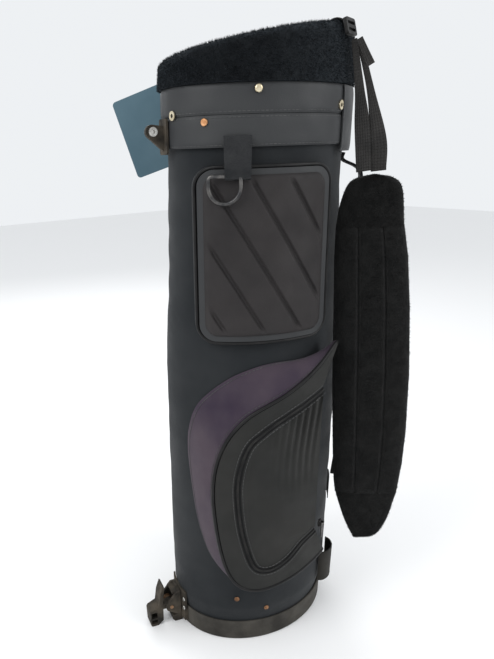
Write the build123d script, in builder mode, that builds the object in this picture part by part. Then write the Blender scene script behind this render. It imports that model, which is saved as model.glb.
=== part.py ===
from build123d import *
import os
from math import atan2, cos, degrees, hypot, radians, sin, sqrt

os.makedirs("parts", exist_ok=True)

# Golf carry bag, millimetres. Origin: centre of the underside of the base cup. +X runs along the
# long axis of the oval section towards the strap side, -X faces the kick stand, -Y the pockets.

# ---- driving dimensions: oval tube ----
cup_long = 131.0
cup_short = 105.0
cup_height = 34.0
cup_wall = 3.2
cup_floor = 3.0
board_thick = 3.0
belly_long = 135.0
belly_short = 109.0
belly_low = 130.0
belly_high = 430.0
waist_height = 560.0
waist_inset = 7.5
neck_inset = 12.5
neck_height = 690.0
shell_wall = 2.4

# ---- driving dimensions: cuff, ring, collar ----
cuff_long = 130.0
cuff_short = 104.0
cuff_bottom = 714.0
cuff_seam = 748.0
cuff_top = 780.0
ring_bottom = 691.0
ring_wall = 4.0
ring_to_rim = 10.0
collar_overhang = 2.0
collar_draft = 7.0
collar_bore_inset = 25.0
collar_round = 11.0
rim_middle = 829.0
rim_slope = 0.17
divider_bar_thick = 8.0
divider_bar_height = 28.0
divider_drop = 14.0
divider_cloth = 1.4
stay_radius = 1.7
stay_angles = [-36.0, 60.0, 144.0, -110.0]

# ---- driving dimensions: pockets, in the plane that faces pocket_turn ----
pocket_turn = -120.0
ball_left = -95.0
ball_right = 76.0
ball_low = 486.0
ball_high = 696.0
ball_corner = 24.0
ball_depth = 12.0
ball_panel = 2.0
eva_margin = 11.0
eva_thick = 4.0
groove_width = 4.0
groove_depth = 2.0
groove_pitch = 40.0
groove_lean = 58.0
side_depth = 26.0
side_cloth = 2.0
bead = 4.4
zip_width = 9.0
zip_rest = 206.0

# ---- driving dimensions: stand, strap and trim ----
stand_angle = 168.0
strap_turn = -42.0
plate_half_width = 27.0
plate_top = 64.0
hinge_out = 21.0
hinge_height = 34.0
hinge_pin_radius = 3.0
pin_fit = 0.05
foot_width = 22.0
ear_thick = 4.0
lug_out = 17.0
lug_height = 734.0
lug_bolt_radius = 3.0
lug_stud_radius = 2.5
webbing_thick = 1.8
pad_thick = 22.0
ring_wire = 4.5
ring_width = 41.0
ring_drop = 34.0
tab_angle = -142.0
tab_width = 33.0
tag_width = 90.0
tag_length = 106.0
gap = 0.3


def oval_point(angle, half_long, half_short):
    """A point of an oval at its parameter angle, and the outward normal there."""
    t = radians(angle)
    normal = Vector(half_short * cos(t), half_long * sin(t), 0).normalized()
    return Vector(half_long * cos(t), half_short * sin(t), 0), normal


def wall_plane(angle, height, half_long=cuff_long, half_short=cuff_short, out=0.0):
    """A plane tangent to the oval wall: local x is along the wall, y up, z outwards."""
    point, normal = oval_point(angle, half_long, half_short)
    origin = point + normal * out + Vector(0, 0, height)
    return Plane(origin, x_dir=Vector(-normal.Y, normal.X, 0), z_dir=normal)


def cross_plane(angle, half_long=cuff_long, half_short=cuff_short, along=0.0):
    """A plane square to the oval wall: local x is outwards from it, y is height."""
    point, normal = oval_point(angle, half_long, half_short)
    side = Vector(normal.Y, -normal.X, 0)
    return Plane(point + side * along, x_dir=normal, z_dir=side)


def oval_loft(levels, grow=0.0):
    """A straight-ruled solid through ovals given as (height, half_long, half_short)."""
    with BuildPart() as solid:
        for height, half_long, half_short in levels:
            with BuildSketch(Plane.XY.offset(height)):
                Ellipse(half_long + grow, half_short + grow)
        loft(ruled=True)
    return solid.part


def oval_band(bottom, top, outer, inner):
    """An oval ring between two heights; outer and inner are (half_long, half_short)."""
    with BuildPart() as band:
        with BuildSketch(Plane.XY.offset(bottom)):
            Ellipse(*outer)
            Ellipse(*inner, mode=Mode.SUBTRACT)
        extrude(amount=top - bottom)
    return band.part


def finish(builder, name):
    """Label a finished piece and write it."""
    builder.part.label = name
    export_step(builder.part, f"parts/{name}.step")


# ---- shared shapes ----
tuck = (cup_long - cup_wall - 0.2, cup_short - cup_wall - 0.2)
neck = (belly_long - neck_inset, belly_short - neck_inset)
waist = (belly_long - waist_inset, belly_short - waist_inset)
shell_bottom = cup_floor + board_thick + gap
body_levels = [
    (shell_bottom, *tuck),
    (cup_height + 1.0, *tuck),
    (62.0, belly_long - 2.0, belly_short - 2.0),
    (belly_low, belly_long, belly_short),
    (belly_high, belly_long, belly_short),
    (waist_height, *waist),
    (neck_height, *neck),
    (cuff_top - 2.0, *neck),
]
body_solid = oval_loft(body_levels, gap)
rim_plane = Plane(
    (0, 0, rim_middle),
    x_dir=(1, 0, rim_slope * cos(radians(strap_turn))),
    z_dir=(-rim_slope * cos(radians(strap_turn)), -rim_slope * sin(radians(strap_turn)), 1),
)
pocket_normal = Vector(cos(radians(pocket_turn)), sin(radians(pocket_turn)), 0)
pocket_across = Vector(-pocket_normal.Y, pocket_normal.X, 0)
pocket_plane = Plane((0, 0, 0), x_dir=pocket_across, z_dir=pocket_normal)
pocket_reach = belly_long + side_depth + 40.0
strap_along = Vector(cos(radians(strap_turn)), sin(radians(strap_turn)), 0)
strap_back = Vector(-strap_along.Y, strap_along.X, 0)
strap_angle = degrees(atan2(cuff_short * sin(radians(strap_turn)), cuff_long * cos(radians(strap_turn))))


def strap_plane(depth, tilt=0.0):
    """Upright plane of the hanging strap: local x away from the bag, y up; depth is towards the pockets."""
    plane = Plane(-strap_back * depth, x_dir=strap_along, z_dir=-strap_back)
    return plane.rotated((tilt, 0, 0))


# ---- base ----
with BuildPart() as base_cup:
    with BuildSketch():
        Ellipse(cup_long, cup_short)
    extrude(amount=cup_height)
    fillet(base_cup.edges().group_by(Axis.Z)[0], radius=cup_wall * 0.9)
    with BuildSketch(Plane.XY.offset(cup_floor)):
        Ellipse(cup_long - cup_wall, cup_short - cup_wall)
    extrude(amount=cup_height, mode=Mode.SUBTRACT)
    fillet(base_cup.edges().group_by(Axis.Z)[-1], radius=cup_wall * 0.4)
finish(base_cup, "base_cup")

with BuildPart() as floor_board:
    with BuildSketch(Plane.XY.offset(cup_floor)):
        Ellipse(*tuck)
    extrude(amount=board_thick)
finish(floor_board, "floor_board")

# ---- body shell ----
shell_bore = oval_loft(body_levels, -shell_wall)
with BuildPart() as body_shell:
    add(oval_loft(body_levels))
    add(shell_bore, mode=Mode.SUBTRACT)
finish(body_shell, "body_shell")

# ---- collar ring, stays and dividers ----
ring_outer = (neck[0] - shell_wall - 0.2, neck[1] - shell_wall - 0.2)
ring_inner = (ring_outer[0] - ring_wall, ring_outer[1] - ring_wall)
ring_cut = rim_plane.offset(-ring_to_rim)
with BuildPart() as collar_ring:
    add(oval_band(ring_bottom, rim_middle + 60, ring_outer, ring_inner))
    split(bisect_by=ring_cut, keep=Keep.BOTTOM)
finish(collar_ring, "collar_ring")

bar_top = cuff_top - divider_drop
with BuildPart() as divider_bars:
    with BuildSketch(Plane.XY.offset(bar_top - divider_bar_height)):
        Ellipse(ring_inner[0] - 0.1, ring_inner[1] - 0.1)
    extrude(amount=divider_bar_height)
    with BuildSketch(Plane.XY.offset(bar_top - divider_bar_height)):
        Rectangle(2 * cuff_long, 2 * cuff_short)
        Rectangle(2 * cuff_long, divider_bar_thick, mode=Mode.SUBTRACT)
        Rectangle(divider_bar_thick, 2 * cuff_short, mode=Mode.SUBTRACT)
    extrude(amount=divider_bar_height, mode=Mode.SUBTRACT)
    fillet(divider_bars.edges().group_by(Axis.Z)[-1], radius=divider_bar_thick * 0.3)
finish(divider_bars, "divider_bars")

cloth_bottom = cup_floor + board_thick + gap
cloth_top = bar_top - divider_bar_height - gap
cloth_reach = ring_inner[0] - 4.0
with BuildPart() as divider_long:
    with BuildSketch(Plane.XY.offset(cloth_bottom)):
        Rectangle(2 * cloth_reach, divider_cloth)
    extrude(amount=cloth_top - cloth_bottom)
finish(divider_long, "divider_long")

for side, name in ((-1, "divider_front"), (1, "divider_back")):
    start = divider_cloth / 2 + gap
    length = ring_inner[1] - 4.0 - start
    with BuildPart() as divider_half:
        with BuildSketch(Plane.XY.offset(cloth_bottom)):
            with Locations((0, side * (start + length / 2))):
                Rectangle(divider_cloth, length)
        extrude(amount=cloth_top - cloth_bottom)
    finish(divider_half, name)

stay_inset = shell_wall + stay_radius + gap
with BuildPart() as stays:
    for angle in stay_angles:
        spot, spot_normal = oval_point(angle, *neck)
        spot = spot - spot_normal * stay_inset
        with BuildSketch(Plane.XY.offset(shell_bottom)):
            with Locations((spot.X, spot.Y)):
                Circle(stay_radius)
        extrude(amount=ring_bottom - gap - shell_bottom)
finish(stays, "stays")

# ---- cuff ----
cuff_bore = (neck[0] + 0.2, neck[1] + 0.2)
for name, low, high in (
    ("cuff_lower", cuff_bottom, cuff_seam - 0.1), ("cuff_upper", cuff_seam + 0.1, cuff_top)
):
    with BuildPart() as cuff:
        add(oval_band(low, high, (cuff_long, cuff_short), cuff_bore))
        outer_edges = cuff.edges().filter_by(lambda e: e.length > 700).sort_by(Axis.X)
        fillet([e for e in outer_edges if e.bounding_box().max.X > cuff_long - 1], radius=2.5)
    finish(cuff, name)

# ---- fur collar: an upturned U over the ring ----
collar_low = (cuff_long + collar_overhang, cuff_short + collar_overhang)
collar_levels = [
    (cuff_top + gap, *collar_low),
    (rim_middle + 60, collar_low[0] - collar_draft * 1.3, collar_low[1] - collar_draft * 1.3),
]
collar_bore = (cuff_long - collar_bore_inset, cuff_short - collar_bore_inset)
slot_fit = 0.25
ring_slot = oval_band(
    ring_bottom - 5,
    rim_middle + 60,
    (ring_outer[0] + slot_fit, ring_outer[1] + slot_fit),
    (ring_inner[0] - slot_fit, ring_inner[1] - slot_fit),
)
ring_slot = split(ring_slot, bisect_by=ring_cut.offset(slot_fit), keep=Keep.BOTTOM)
collar_solid = oval_loft(collar_levels)
with BuildPart() as fur_collar:
    add(collar_solid)
    split(bisect_by=rim_plane, keep=Keep.BOTTOM)
    with BuildSketch(Plane.XY.offset(ring_bottom)):
        Ellipse(*collar_bore)
    extrude(amount=250, mode=Mode.SUBTRACT)
    rim_edges = [e for e in fur_collar.edges() if e.bounding_box().min.Z > cuff_top + 5 and e.length > 300]
    fillet(rim_edges, radius=collar_round)
    add(
        oval_band(
            cuff_top - 12.0,
            cuff_top + 5.0,
            (ring_inner[0] - slot_fit, ring_inner[1] - slot_fit),
            collar_bore,
        )
    )
    add(ring_slot, mode=Mode.SUBTRACT)
finish(fur_collar, "fur_collar")

# ---- spine cover on the cuff, strap side ----
cover_edge = 27.0
with BuildPart() as spine_cover:
    add(
        oval_band(
            cuff_bottom - 8,
            cuff_top - 1,
            (cuff_long + 2.6, cuff_short + 2.6),
            (cuff_long + 0.25, cuff_short + 0.25),
        )
    )
    with BuildSketch(Plane.XY.offset(cuff_bottom - 9)):
        with BuildLine():
            far = [oval_point(strap_angle + turn, 400, 400)[0] for turn in (-cover_edge, 0, cover_edge + 8)]
            Polyline([(0, 0)] + [(p.X, p.Y) for p in far], close=True)
        make_face()
    extrude(amount=cuff_top - cuff_bottom + 20, mode=Mode.INTERSECT)
finish(spine_cover, "spine_cover")


def studs(name, spots, radius, height, hole=0.0, dome=False, out=0.0):
    """A group of equal studs on the wall: each spot is (angle, height, half_long, half_short)."""
    with BuildPart() as group:
        for angle, level, half_long, half_short in spots:
            with BuildSketch(wall_plane(angle, level, half_long, half_short, out + 0.05)):
                Circle(radius)
                if hole:
                    Circle(hole, mode=Mode.SUBTRACT)
            extrude(amount=height)
        tops = [e for e in group.edges().filter_by(GeomType.CIRCLE) if e.radius > radius - 0.1]
        if dome:
            tops = [e for e in tops if any(is_outer(e, spot, height + out) for spot in spots)]
            fillet(tops, radius=height * 0.8)
    finish(group, name)


def is_outer(edge, spot, away):
    """True for a stud's outer rim: its centre lies that far from the wall."""
    angle, level, half_long, half_short = spot
    face = wall_plane(angle, level, half_long, half_short, away + 0.05)
    return (edge.arc_center - face.origin).length < 0.2


cuff_oval = (cuff_long, cuff_short)
belly_oval = (belly_long - 1.6, belly_short - 1.6)
studs(
    "dome_rivets", [(-125.0, cuff_top - 7, *cuff_oval), (125.0, cuff_top - 7, *cuff_oval)], 4.6,
    3.0, dome=True
)
eyelet_spots = [
    (180.0, cuff_seam + 2, *cuff_oval), (-70.0, cuff_seam + 9, *cuff_oval),
    (70.0, cuff_seam + 9, *cuff_oval)
]
studs("eyelet_rivets", eyelet_spots, 5.2, 1.4, hole=2.2)
studs(
    "flat_rivets", [(-155.0, cuff_seam - 7, *cuff_oval), (155.0, cuff_seam - 7, *cuff_oval)],
    4.2, 1.4, dome=True
)
base_spots = [(-134.0, 82.0, *belly_oval), (-113.0, 59.0, belly_long - 2.6, belly_short - 2.6)]
base_spots += [(-angle, level, a, b) for angle, level, a, b in base_spots]
studs("base_rivets", base_spots, 3.8, 1.6, dome=True, out=1.2)


# ---- ball pocket with its moulded panel ----
def pocket_skin(grow_out, grow_in):
    """The layer between two distances outside the body shell."""
    with BuildPart() as skin:
        add(oval_loft(body_levels, grow_out))
        add(oval_loft(body_levels, grow_in), mode=Mode.SUBTRACT)
    return skin.part


def window(left, right, low, high, corner):
    """A rounded upright prism that stands on the pocket plane."""
    with BuildPart() as prism:
        with BuildSketch(pocket_plane):
            with Locations(((left + right) / 2, (low + high) / 2)):
                RectangleRounded(right - left, high - low, corner)
        extrude(amount=pocket_reach)
    return prism.part


ball_outline = window(ball_left, ball_right, ball_low, ball_high, ball_corner)
ball_inside = window(
    ball_left + bead, ball_right - bead, ball_low + bead, ball_high - bead, ball_corner - bead
)
with BuildPart() as ball_pocket_wall:
    add(ball_outline)
    add(ball_inside, mode=Mode.SUBTRACT)
    add(pocket_skin(ball_depth, gap), mode=Mode.INTERSECT)
finish(ball_pocket_wall, "ball_pocket_wall")

with BuildPart() as ball_pocket_piping:
    add(ball_outline)
    add(ball_inside, mode=Mode.SUBTRACT)
    add(pocket_skin(ball_depth + bead, ball_depth + 0.1), mode=Mode.INTERSECT)
finish(ball_pocket_piping, "ball_pocket_piping")

panel_edge = bead + gap
with BuildPart() as ball_pocket_panel:
    add(
        window(
            ball_left + panel_edge,
            ball_right - panel_edge,
            ball_low + panel_edge,
            ball_high - panel_edge,
            ball_corner - panel_edge,
        )
    )
    add(pocket_skin(ball_depth + ball_panel, ball_depth), mode=Mode.INTERSECT)
finish(ball_pocket_panel, "ball_pocket_panel")

eva_window = window(
    ball_left + eva_margin,
    ball_right - eva_margin,
    ball_low + eva_margin,
    ball_high - eva_margin,
    ball_corner - 8
)
eva_face = ball_depth + ball_panel + eva_thick
groove_skin = pocket_skin(eva_face + 5, eva_face - groove_depth)
ball_middle = ((ball_left + ball_right) / 2, (ball_low + ball_high) / 2)
with BuildPart() as grooves:
    for step in range(-3, 3):
        with BuildSketch(pocket_plane):
            with Locations((ball_middle[0] + (step + 0.75) * groove_pitch, ball_middle[1])):
                Rectangle(400, groove_width, rotation=-groove_lean)
        extrude(amount=pocket_reach)
    add(groove_skin, mode=Mode.INTERSECT)
with BuildPart() as moulded_panel:
    add(eva_window)
    add(pocket_skin(eva_face, ball_depth + ball_panel + 0.1), mode=Mode.INTERSECT)
    add(grooves.part, mode=Mode.SUBTRACT)
finish(moulded_panel, "moulded_panel")

# ---- large side pocket: sloping gusset, piped front with a zipped flap ----
root_points = [(92, 112), (20, 110), (-34, 114), (-76, 135), (-100, 190), (-109, 290), (-108, 370)]
root_points += [(-95, 440), (-58, 505), (-10, 530), (34, 492), (62, 460), (92, 446)]
front_points = [(92, 150), (30, 127), (-20, 118), (-52, 137), (-70, 190), (-79, 280), (-68, 345), (-36, 392)]
front_points += [(20, 423), (58, 447), (92, 476)]
lid_points = [(92, 148), (30, 126), (-14, 119), (-44, 138), (-58, 190), (-65, 285), (-52, 345), (-24, 393)]
lid_points += [(20, 421), (58, 443), (92, 462)]
zip_points = [(72, 196), (50, 184), (26, 162), (0, 151), (-22, 160), (-36, 200), (-44, 245), (-46, 300)]
zip_points += [(-34, 348), (-12, 371), (15, 388), (54, 407), (72, 416)]


def outline_face(points, plane):
    """A closed face: a smooth curve through the points, shut by a straight edge."""
    with BuildSketch(plane) as sketch:
        with BuildLine():
            curve = Spline(*points)
            Line(curve @ 1, curve @ 0)
        make_face()
    return sketch.sketch


root_depth = 62.0
lid_depth = 142.0
envelope_faces = [
    outline_face(root_points, pocket_plane.offset(root_depth)).face(),
    outline_face(lid_points, pocket_plane.offset(lid_depth)).face(),
]
with BuildPart() as side_envelope:
    loft(envelope_faces, ruled=True)
inner_root = [(x * 0.97, 300 + (z - 300) * 0.975) for x, z in root_points]
inner_lid = [(x * 0.965, 300 + (z - 300) * 0.975) for x, z in lid_points]
cavity_faces = [
    outline_face(inner_root, pocket_plane.offset(root_depth - 1)).face(),
    outline_face(inner_lid, pocket_plane.offset(lid_depth + 1)).face(),
]
with BuildPart() as side_cavity:
    loft(cavity_faces, ruled=True)
with BuildPart() as side_pocket_gusset:
    add(side_envelope.part)
    add(oval_loft(body_levels, side_depth - side_cloth), mode=Mode.INTERSECT)
    add(body_solid, mode=Mode.SUBTRACT)
    add(side_cavity.part, mode=Mode.SUBTRACT)
finish(side_pocket_gusset, "side_pocket_gusset")


def moved_outline(points, grow):
    """The outline's points moved outwards by grow; the two ends stay on an upright line on the right."""
    area = sum(x0 * z1 - x1 * z0 for (x0, z0), (x1, z1) in zip(points, points[1:] + points[:1]))
    turn = 1 if area > 0 else -1
    moved = []
    for i, (x, z) in enumerate(points):
        before, after = points[max(i - 1, 0)], points[min(i + 1, len(points) - 1)]
        run, rise = after[0] - before[0], after[1] - before[1]
        step = grow * turn / hypot(run, rise)
        place = (x + rise * step, z - run * step)
        if i in (0, len(points) - 1):
            place = (x + grow, place[1] + (x + grow - place[0]) * rise / run)
        moved.append(place)
    return moved


def front_prism(points, grow=0.0):
    """An upright prism on the pocket plane with a smooth outline, grown or shrunk evenly."""
    face = outline_face(moved_outline(points, grow), pocket_plane)
    with BuildPart() as prism:
        extrude(face, amount=pocket_reach)
    return prism.part


front_skin = pocket_skin(side_depth, side_depth - side_cloth + 0.1)
front_outer = front_prism(front_points)
front_inner = front_prism(front_points, -bead)
with BuildPart() as side_pocket_piping:
    add(front_outer)
    add(front_inner, mode=Mode.SUBTRACT)
    add(pocket_skin(side_depth + 1.2, side_depth - side_cloth + 0.1), mode=Mode.INTERSECT)
finish(side_pocket_piping, "side_pocket_piping")

with BuildPart() as side_pocket_border:
    add(front_prism(front_points, -bead - gap))
    add(front_prism(zip_points, zip_width / 2 + gap), mode=Mode.SUBTRACT)
    add(front_skin, mode=Mode.INTERSECT)
finish(side_pocket_border, "side_pocket_border")

with BuildPart() as side_pocket_flap:
    add(front_prism(zip_points, -zip_width / 2))
    add(front_skin, mode=Mode.INTERSECT)
finish(side_pocket_flap, "side_pocket_flap")

with BuildPart() as zip_tape:
    add(front_prism(zip_points, zip_width / 2))
    add(front_prism(zip_points, 0.1 - zip_width / 2), mode=Mode.SUBTRACT)
    add(pocket_skin(side_depth - 0.5, side_depth - 1.7), mode=Mode.INTERSECT)
finish(zip_tape, "zip_tape")


def front_frame(across, height, grow):
    """The plane tangent to the pocket front at a place on the pocket plane: x along, y up, z outwards."""
    a, b = belly_long + grow, belly_short + grow
    n, t = pocket_normal, pocket_across
    square = (n.X / a) ** 2 + (n.Y / b) ** 2
    half = across * (n.X * t.X / a**2 + n.Y * t.Y / b**2)
    rest = across**2 * ((t.X / a) ** 2 + (t.Y / b) ** 2) - 1
    depth = (-half + sqrt(half**2 - square * rest)) / square
    point = t * across + n * depth
    normal = Vector(point.X / a**2, point.Y / b**2, 0).normalized()
    return Plane(point + Vector(0, 0, height), x_dir=Vector(-normal.Y, normal.X, 0), z_dir=normal)


# ---- zip slider and puller: the slider runs straight up the flap's free side ----
slider_across = 79.0
slider_base = front_frame(slider_across, zip_rest, side_depth + 1.0)
slider_size = (8.0, 12.0, 2.6)
slider_ear = 3.7
slider_pin_rise = 2.3
puller_pin = 0.8
with BuildPart() as zip_slider:
    with BuildSketch(slider_base):
        RectangleRounded(slider_size[0], slider_size[1], 2.4)
    extrude(amount=slider_size[2])
    with BuildSketch(slider_base.offset(slider_size[2])):
        with Locations((-2.6, 0), (2.6, 0)):
            Rectangle(1.2, 6.0)
    extrude(amount=slider_ear)
    loop_centre = slider_base.offset(slider_size[2] + slider_pin_rise).origin
    loop_plane = Plane(loop_centre, x_dir=slider_base.z_dir, z_dir=slider_base.x_dir)
    with BuildSketch(loop_plane):
        Circle(puller_pin)
    extrude(amount=3.2, both=True)
finish(zip_slider, "zip_slider")

puller_length = 25.0
puller_out = slider_size[2] + slider_pin_rise
with BuildPart() as zip_puller:
    with BuildSketch(slider_base.offset(puller_out - 0.7)):
        with Locations((0, -puller_length / 2 + 2)):
            RectangleRounded(3.6, puller_length, 1.6)
    extrude(amount=1.4)
    hub = Plane(slider_base.offset(puller_out).origin, x_dir=slider_base.z_dir, z_dir=slider_base.x_dir)
    with BuildSketch(hub):
        Circle(1.9)
    extrude(amount=1.8, both=True)
    with BuildSketch(hub):
        Circle(puller_pin + pin_fit)
    extrude(amount=4, both=True, mode=Mode.SUBTRACT)
finish(zip_puller, "zip_puller")

# ---- umbrella sleeve, low on the strap side ----
sleeve_angle = -55.0
sleeve_low = 56.0
sleeve_high = 112.0
sleeve_half_width = 24.0
sleeve_reach = 19.0
sleeve_wall = 1.8
sleeve_back_high = 138.0
sleeve_frame = wall_plane(sleeve_angle, 0, belly_long - 3, belly_short - 3)
sleeve_plane = Plane(sleeve_frame.origin, x_dir=sleeve_frame.x_dir, z_dir=(0, 0, 1))
with BuildPart() as umbrella_sleeve:
    with BuildSketch(sleeve_plane.offset(sleeve_low)):
        Ellipse(sleeve_half_width, sleeve_reach)
        Ellipse(sleeve_half_width - sleeve_wall, sleeve_reach - sleeve_wall, mode=Mode.SUBTRACT)
    extrude(amount=sleeve_high - sleeve_low)
    with BuildSketch(sleeve_plane.offset(sleeve_low)):
        with Locations((0, -4)):
            Rectangle(2 * sleeve_half_width - 8, 14)
    extrude(amount=sleeve_back_high - sleeve_low)
    add(body_solid, mode=Mode.SUBTRACT)
    back_face = wall_plane(sleeve_angle, 0, belly_long, belly_short, sleeve_wall)
    with BuildSketch(
        Plane(back_face.origin, x_dir=back_face.x_dir, z_dir=(0, 0, 1)).offset(sleeve_low + sleeve_wall)
    ):
        Ellipse(sleeve_half_width - sleeve_wall, sleeve_reach - sleeve_wall - 2.2)
        with Locations((0, -30)):
            Rectangle(80, 60, mode=Mode.INTERSECT)
    extrude(amount=sleeve_back_high, mode=Mode.SUBTRACT)
finish(umbrella_sleeve, "umbrella_sleeve")

# ---- accessory tab and D-ring ----
tab_top = cuff_seam - 20.0
ring_pivot_height = 684.0
ring_pivot_out = 17.5
pivot_hole = ring_wire / 2 + 0.1
with BuildPart() as ring_tab:
    with BuildSketch(cross_plane(tab_angle)):
        with BuildLine():
            Polyline((1.6, tab_top), (4.2, tab_top), (ring_pivot_out + 3, 698), (ring_pivot_out + 3, 692))
            Polyline((ring_pivot_out + 3, 692), (ring_pivot_out - 1.4, 692), (1.6, 716), (1.6, tab_top))
        make_face()
        with Locations((ring_pivot_out, ring_pivot_height)):
            Circle(pivot_hole + 3.2)
        with BuildLine():
            Polyline(
                (ring_pivot_out - 2.4, ring_pivot_height),
                (ring_pivot_out - 1.4, 693),
                (ring_pivot_out + 3, 693),
                (ring_pivot_out + 4, ring_pivot_height),
                close=True,
            )
        make_face()
        with Locations((ring_pivot_out, ring_pivot_height)):
            Circle(pivot_hole, mode=Mode.SUBTRACT)
    extrude(amount=tab_width / 2 - 2.5, both=True)
finish(ring_tab, "ring_tab")

ring_frame = wall_plane(tab_angle, ring_pivot_height, out=ring_pivot_out)
half_ring = (ring_width - ring_wire) / 2
ring_corner = 4.0
arc_start = half_ring + ring_wire - ring_drop
with BuildPart() as d_ring:
    with BuildLine(ring_frame) as ring_path:
        bar = Line((ring_corner - half_ring, 0), (half_ring - ring_corner, 0))
        corner = TangentArc(bar @ 1, (half_ring, -ring_corner), tangent=bar % 1)
        side_line = Line(corner @ 1, (half_ring, arc_start))
        bow = TangentArc(side_line @ 1, (-half_ring, arc_start), tangent=side_line % 1)
        other_side = Line(bow @ 1, (-half_ring, -ring_corner))
        TangentArc(other_side @ 1, bar @ 0, tangent=other_side % 1)
    with BuildSketch(Plane(ring_path.line @ 0, z_dir=ring_path.line % 0)):
        Circle(ring_wire / 2)
    sweep(path=ring_path.line)
finish(d_ring, "d_ring")

# ---- leg lug: the upper pivot of the stand, with its bolt left in ----
lug_eye = 8.0
lug_thick = 6.0
lug_head = 4.5
lug_nut = 4.0
lug_stud = 14.0
with BuildPart() as leg_lug:
    with BuildSketch(wall_plane(stand_angle, lug_height - 6, out=gap)):
        RectangleRounded(26, 40, 4)
    extrude(amount=2.4)
    with BuildSketch(cross_plane(stand_angle, along=-lug_thick / 2)):
        with Locations((lug_out, lug_height)):
            Circle(lug_eye)
        with Locations((2.2, lug_height - 8)):
            Rectangle(1.6, 28)
        make_hull()
        with Locations((lug_out, lug_height)):
            Circle(lug_bolt_radius + pin_fit, mode=Mode.SUBTRACT)
    extrude(amount=lug_thick)
finish(leg_lug, "leg_lug")

head_start = -lug_thick / 2 - 0.2 - lug_head
with BuildPart() as lug_bolt:
    with BuildSketch(cross_plane(stand_angle, along=head_start)):
        with Locations((lug_out, lug_height)):
            Circle(lug_bolt_radius * 1.75)
    extrude(amount=lug_head)
    with BuildSketch(cross_plane(stand_angle, along=head_start)):
        with Locations((lug_out, lug_height)):
            Circle(lug_bolt_radius)
    extrude(amount=lug_head + lug_thick + lug_nut + 0.6)
    with BuildSketch(cross_plane(stand_angle, along=head_start)):
        with Locations((lug_out, lug_height)):
            Circle(lug_stud_radius)
    extrude(amount=lug_head + lug_thick + lug_nut + 0.6 + lug_stud)
    with BuildSketch(cross_plane(stand_angle, along=head_start)):
        with Locations((lug_out, lug_height)):
            RegularPolygon(lug_bolt_radius * 0.85, 6)
    extrude(amount=lug_head * 0.6, mode=Mode.SUBTRACT)
finish(lug_bolt, "lug_bolt")

with BuildPart() as lug_nut_piece:
    with BuildSketch(cross_plane(stand_angle, along=lug_thick / 2 + 0.2)):
        with Locations((lug_out, lug_height)):
            RegularPolygon(lug_bolt_radius * 1.9, 6)
            Circle(lug_bolt_radius + 0.02, mode=Mode.SUBTRACT)
    extrude(amount=lug_nut)
finish(lug_nut_piece, "lug_nut")

# ---- kick stand on the base: saddle plate, bracket, pin, spring and foot ----
plate_bottom = 8.0
plate_thick = 3.0
plate_grow = 2.4
plate_inner = (cup_long + plate_grow, cup_short + plate_grow)
plate_outer = (plate_inner[0] + plate_thick, plate_inner[1] + plate_thick)
plate_face = plate_grow + plate_thick
stand_point, stand_normal = oval_point(stand_angle, cup_long, cup_short)
stand_side = Vector(stand_normal.Y, -stand_normal.X, 0)
with BuildPart() as saddle_plate:
    add(oval_band(plate_bottom, plate_top, plate_outer, plate_inner))
    add(oval_band(plate_bottom, cup_height - 2, plate_inner, (cup_long + gap, cup_short + gap)))
    with BuildSketch(Plane.XY.offset(plate_bottom)):
        with BuildLine():
            near_edge = stand_side * plate_half_width
            far_edge = stand_normal * 40
            corners = [stand_point * 0.6 - near_edge, stand_point * 0.6 + near_edge]
            corners += [stand_point + far_edge + near_edge, stand_point + far_edge - near_edge]
            Polyline([(p.X, p.Y) for p in corners], close=True)
        make_face()
    extrude(amount=plate_top, mode=Mode.INTERSECT)
finish(saddle_plate, "saddle_plate")

plate_spots = [(stand_angle + turn, level, *plate_outer) for turn in (-11.3, 11.3) for level in (32.0, 49.0)]
studs("plate_rivets", plate_spots, 3.6, 1.6, dome=True)

ear_inside = 12.0
ear_round = 9.0
bracket_foot = plate_face + 0.1
with BuildPart() as stand_bracket:
    for start in (-ear_inside - ear_thick, ear_inside):
        with BuildSketch(cross_plane(stand_angle, cup_long, cup_short, along=start)):
            with Locations((hinge_out, hinge_height)):
                Circle(ear_round)
            with Locations((bracket_foot + 3.5, 39)):
                Rectangle(7, 42)
            make_hull()
            with Locations((hinge_out, hinge_height)):
                Circle(hinge_pin_radius + 0.02, mode=Mode.SUBTRACT)
        extrude(amount=ear_thick)
    with BuildSketch(cross_plane(stand_angle, cup_long, cup_short, along=-ear_inside)):
        with Locations((bracket_foot + 2.0, 52)):
            Rectangle(4, 16)
        with Locations((bracket_foot + 2.0, 20)):
            Rectangle(4, 4)
    extrude(amount=2 * ear_inside)
    with BuildSketch(cross_plane(stand_angle, cup_long, cup_short, along=-ear_inside)):
        with Locations((bracket_foot + 6.5, 57)):
            Rectangle(13, 3)
    extrude(amount=2 * ear_inside)
finish(stand_bracket, "stand_bracket")

with BuildPart() as stand_stop:
    with BuildSketch(cross_plane(stand_angle, cup_long, cup_short, along=-ear_inside - 1)):
        with BuildLine():
            Polyline((3, 0.8), (15, 0.8), (19, 6), (19, 13), (3, 16), close=True)
        make_face()
    extrude(amount=2 * ear_inside + 2)
    add(oval_band(0, 20, (cup_long + 2.0, cup_short + 2.0), (20, 20)), mode=Mode.SUBTRACT)
    add(saddle_plate.part, mode=Mode.SUBTRACT)
finish(stand_stop, "stand_stop")

pin_reach = ear_inside + ear_thick + 1.5
with BuildPart() as stand_pin:
    with BuildSketch(cross_plane(stand_angle, cup_long, cup_short, along=-pin_reach)):
        with Locations((hinge_out, hinge_height)):
            Circle(hinge_pin_radius)
    extrude(amount=2 * pin_reach)
    chamfer(stand_pin.edges().filter_by(GeomType.CIRCLE), length=0.5)
finish(stand_pin, "stand_pin")

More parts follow.
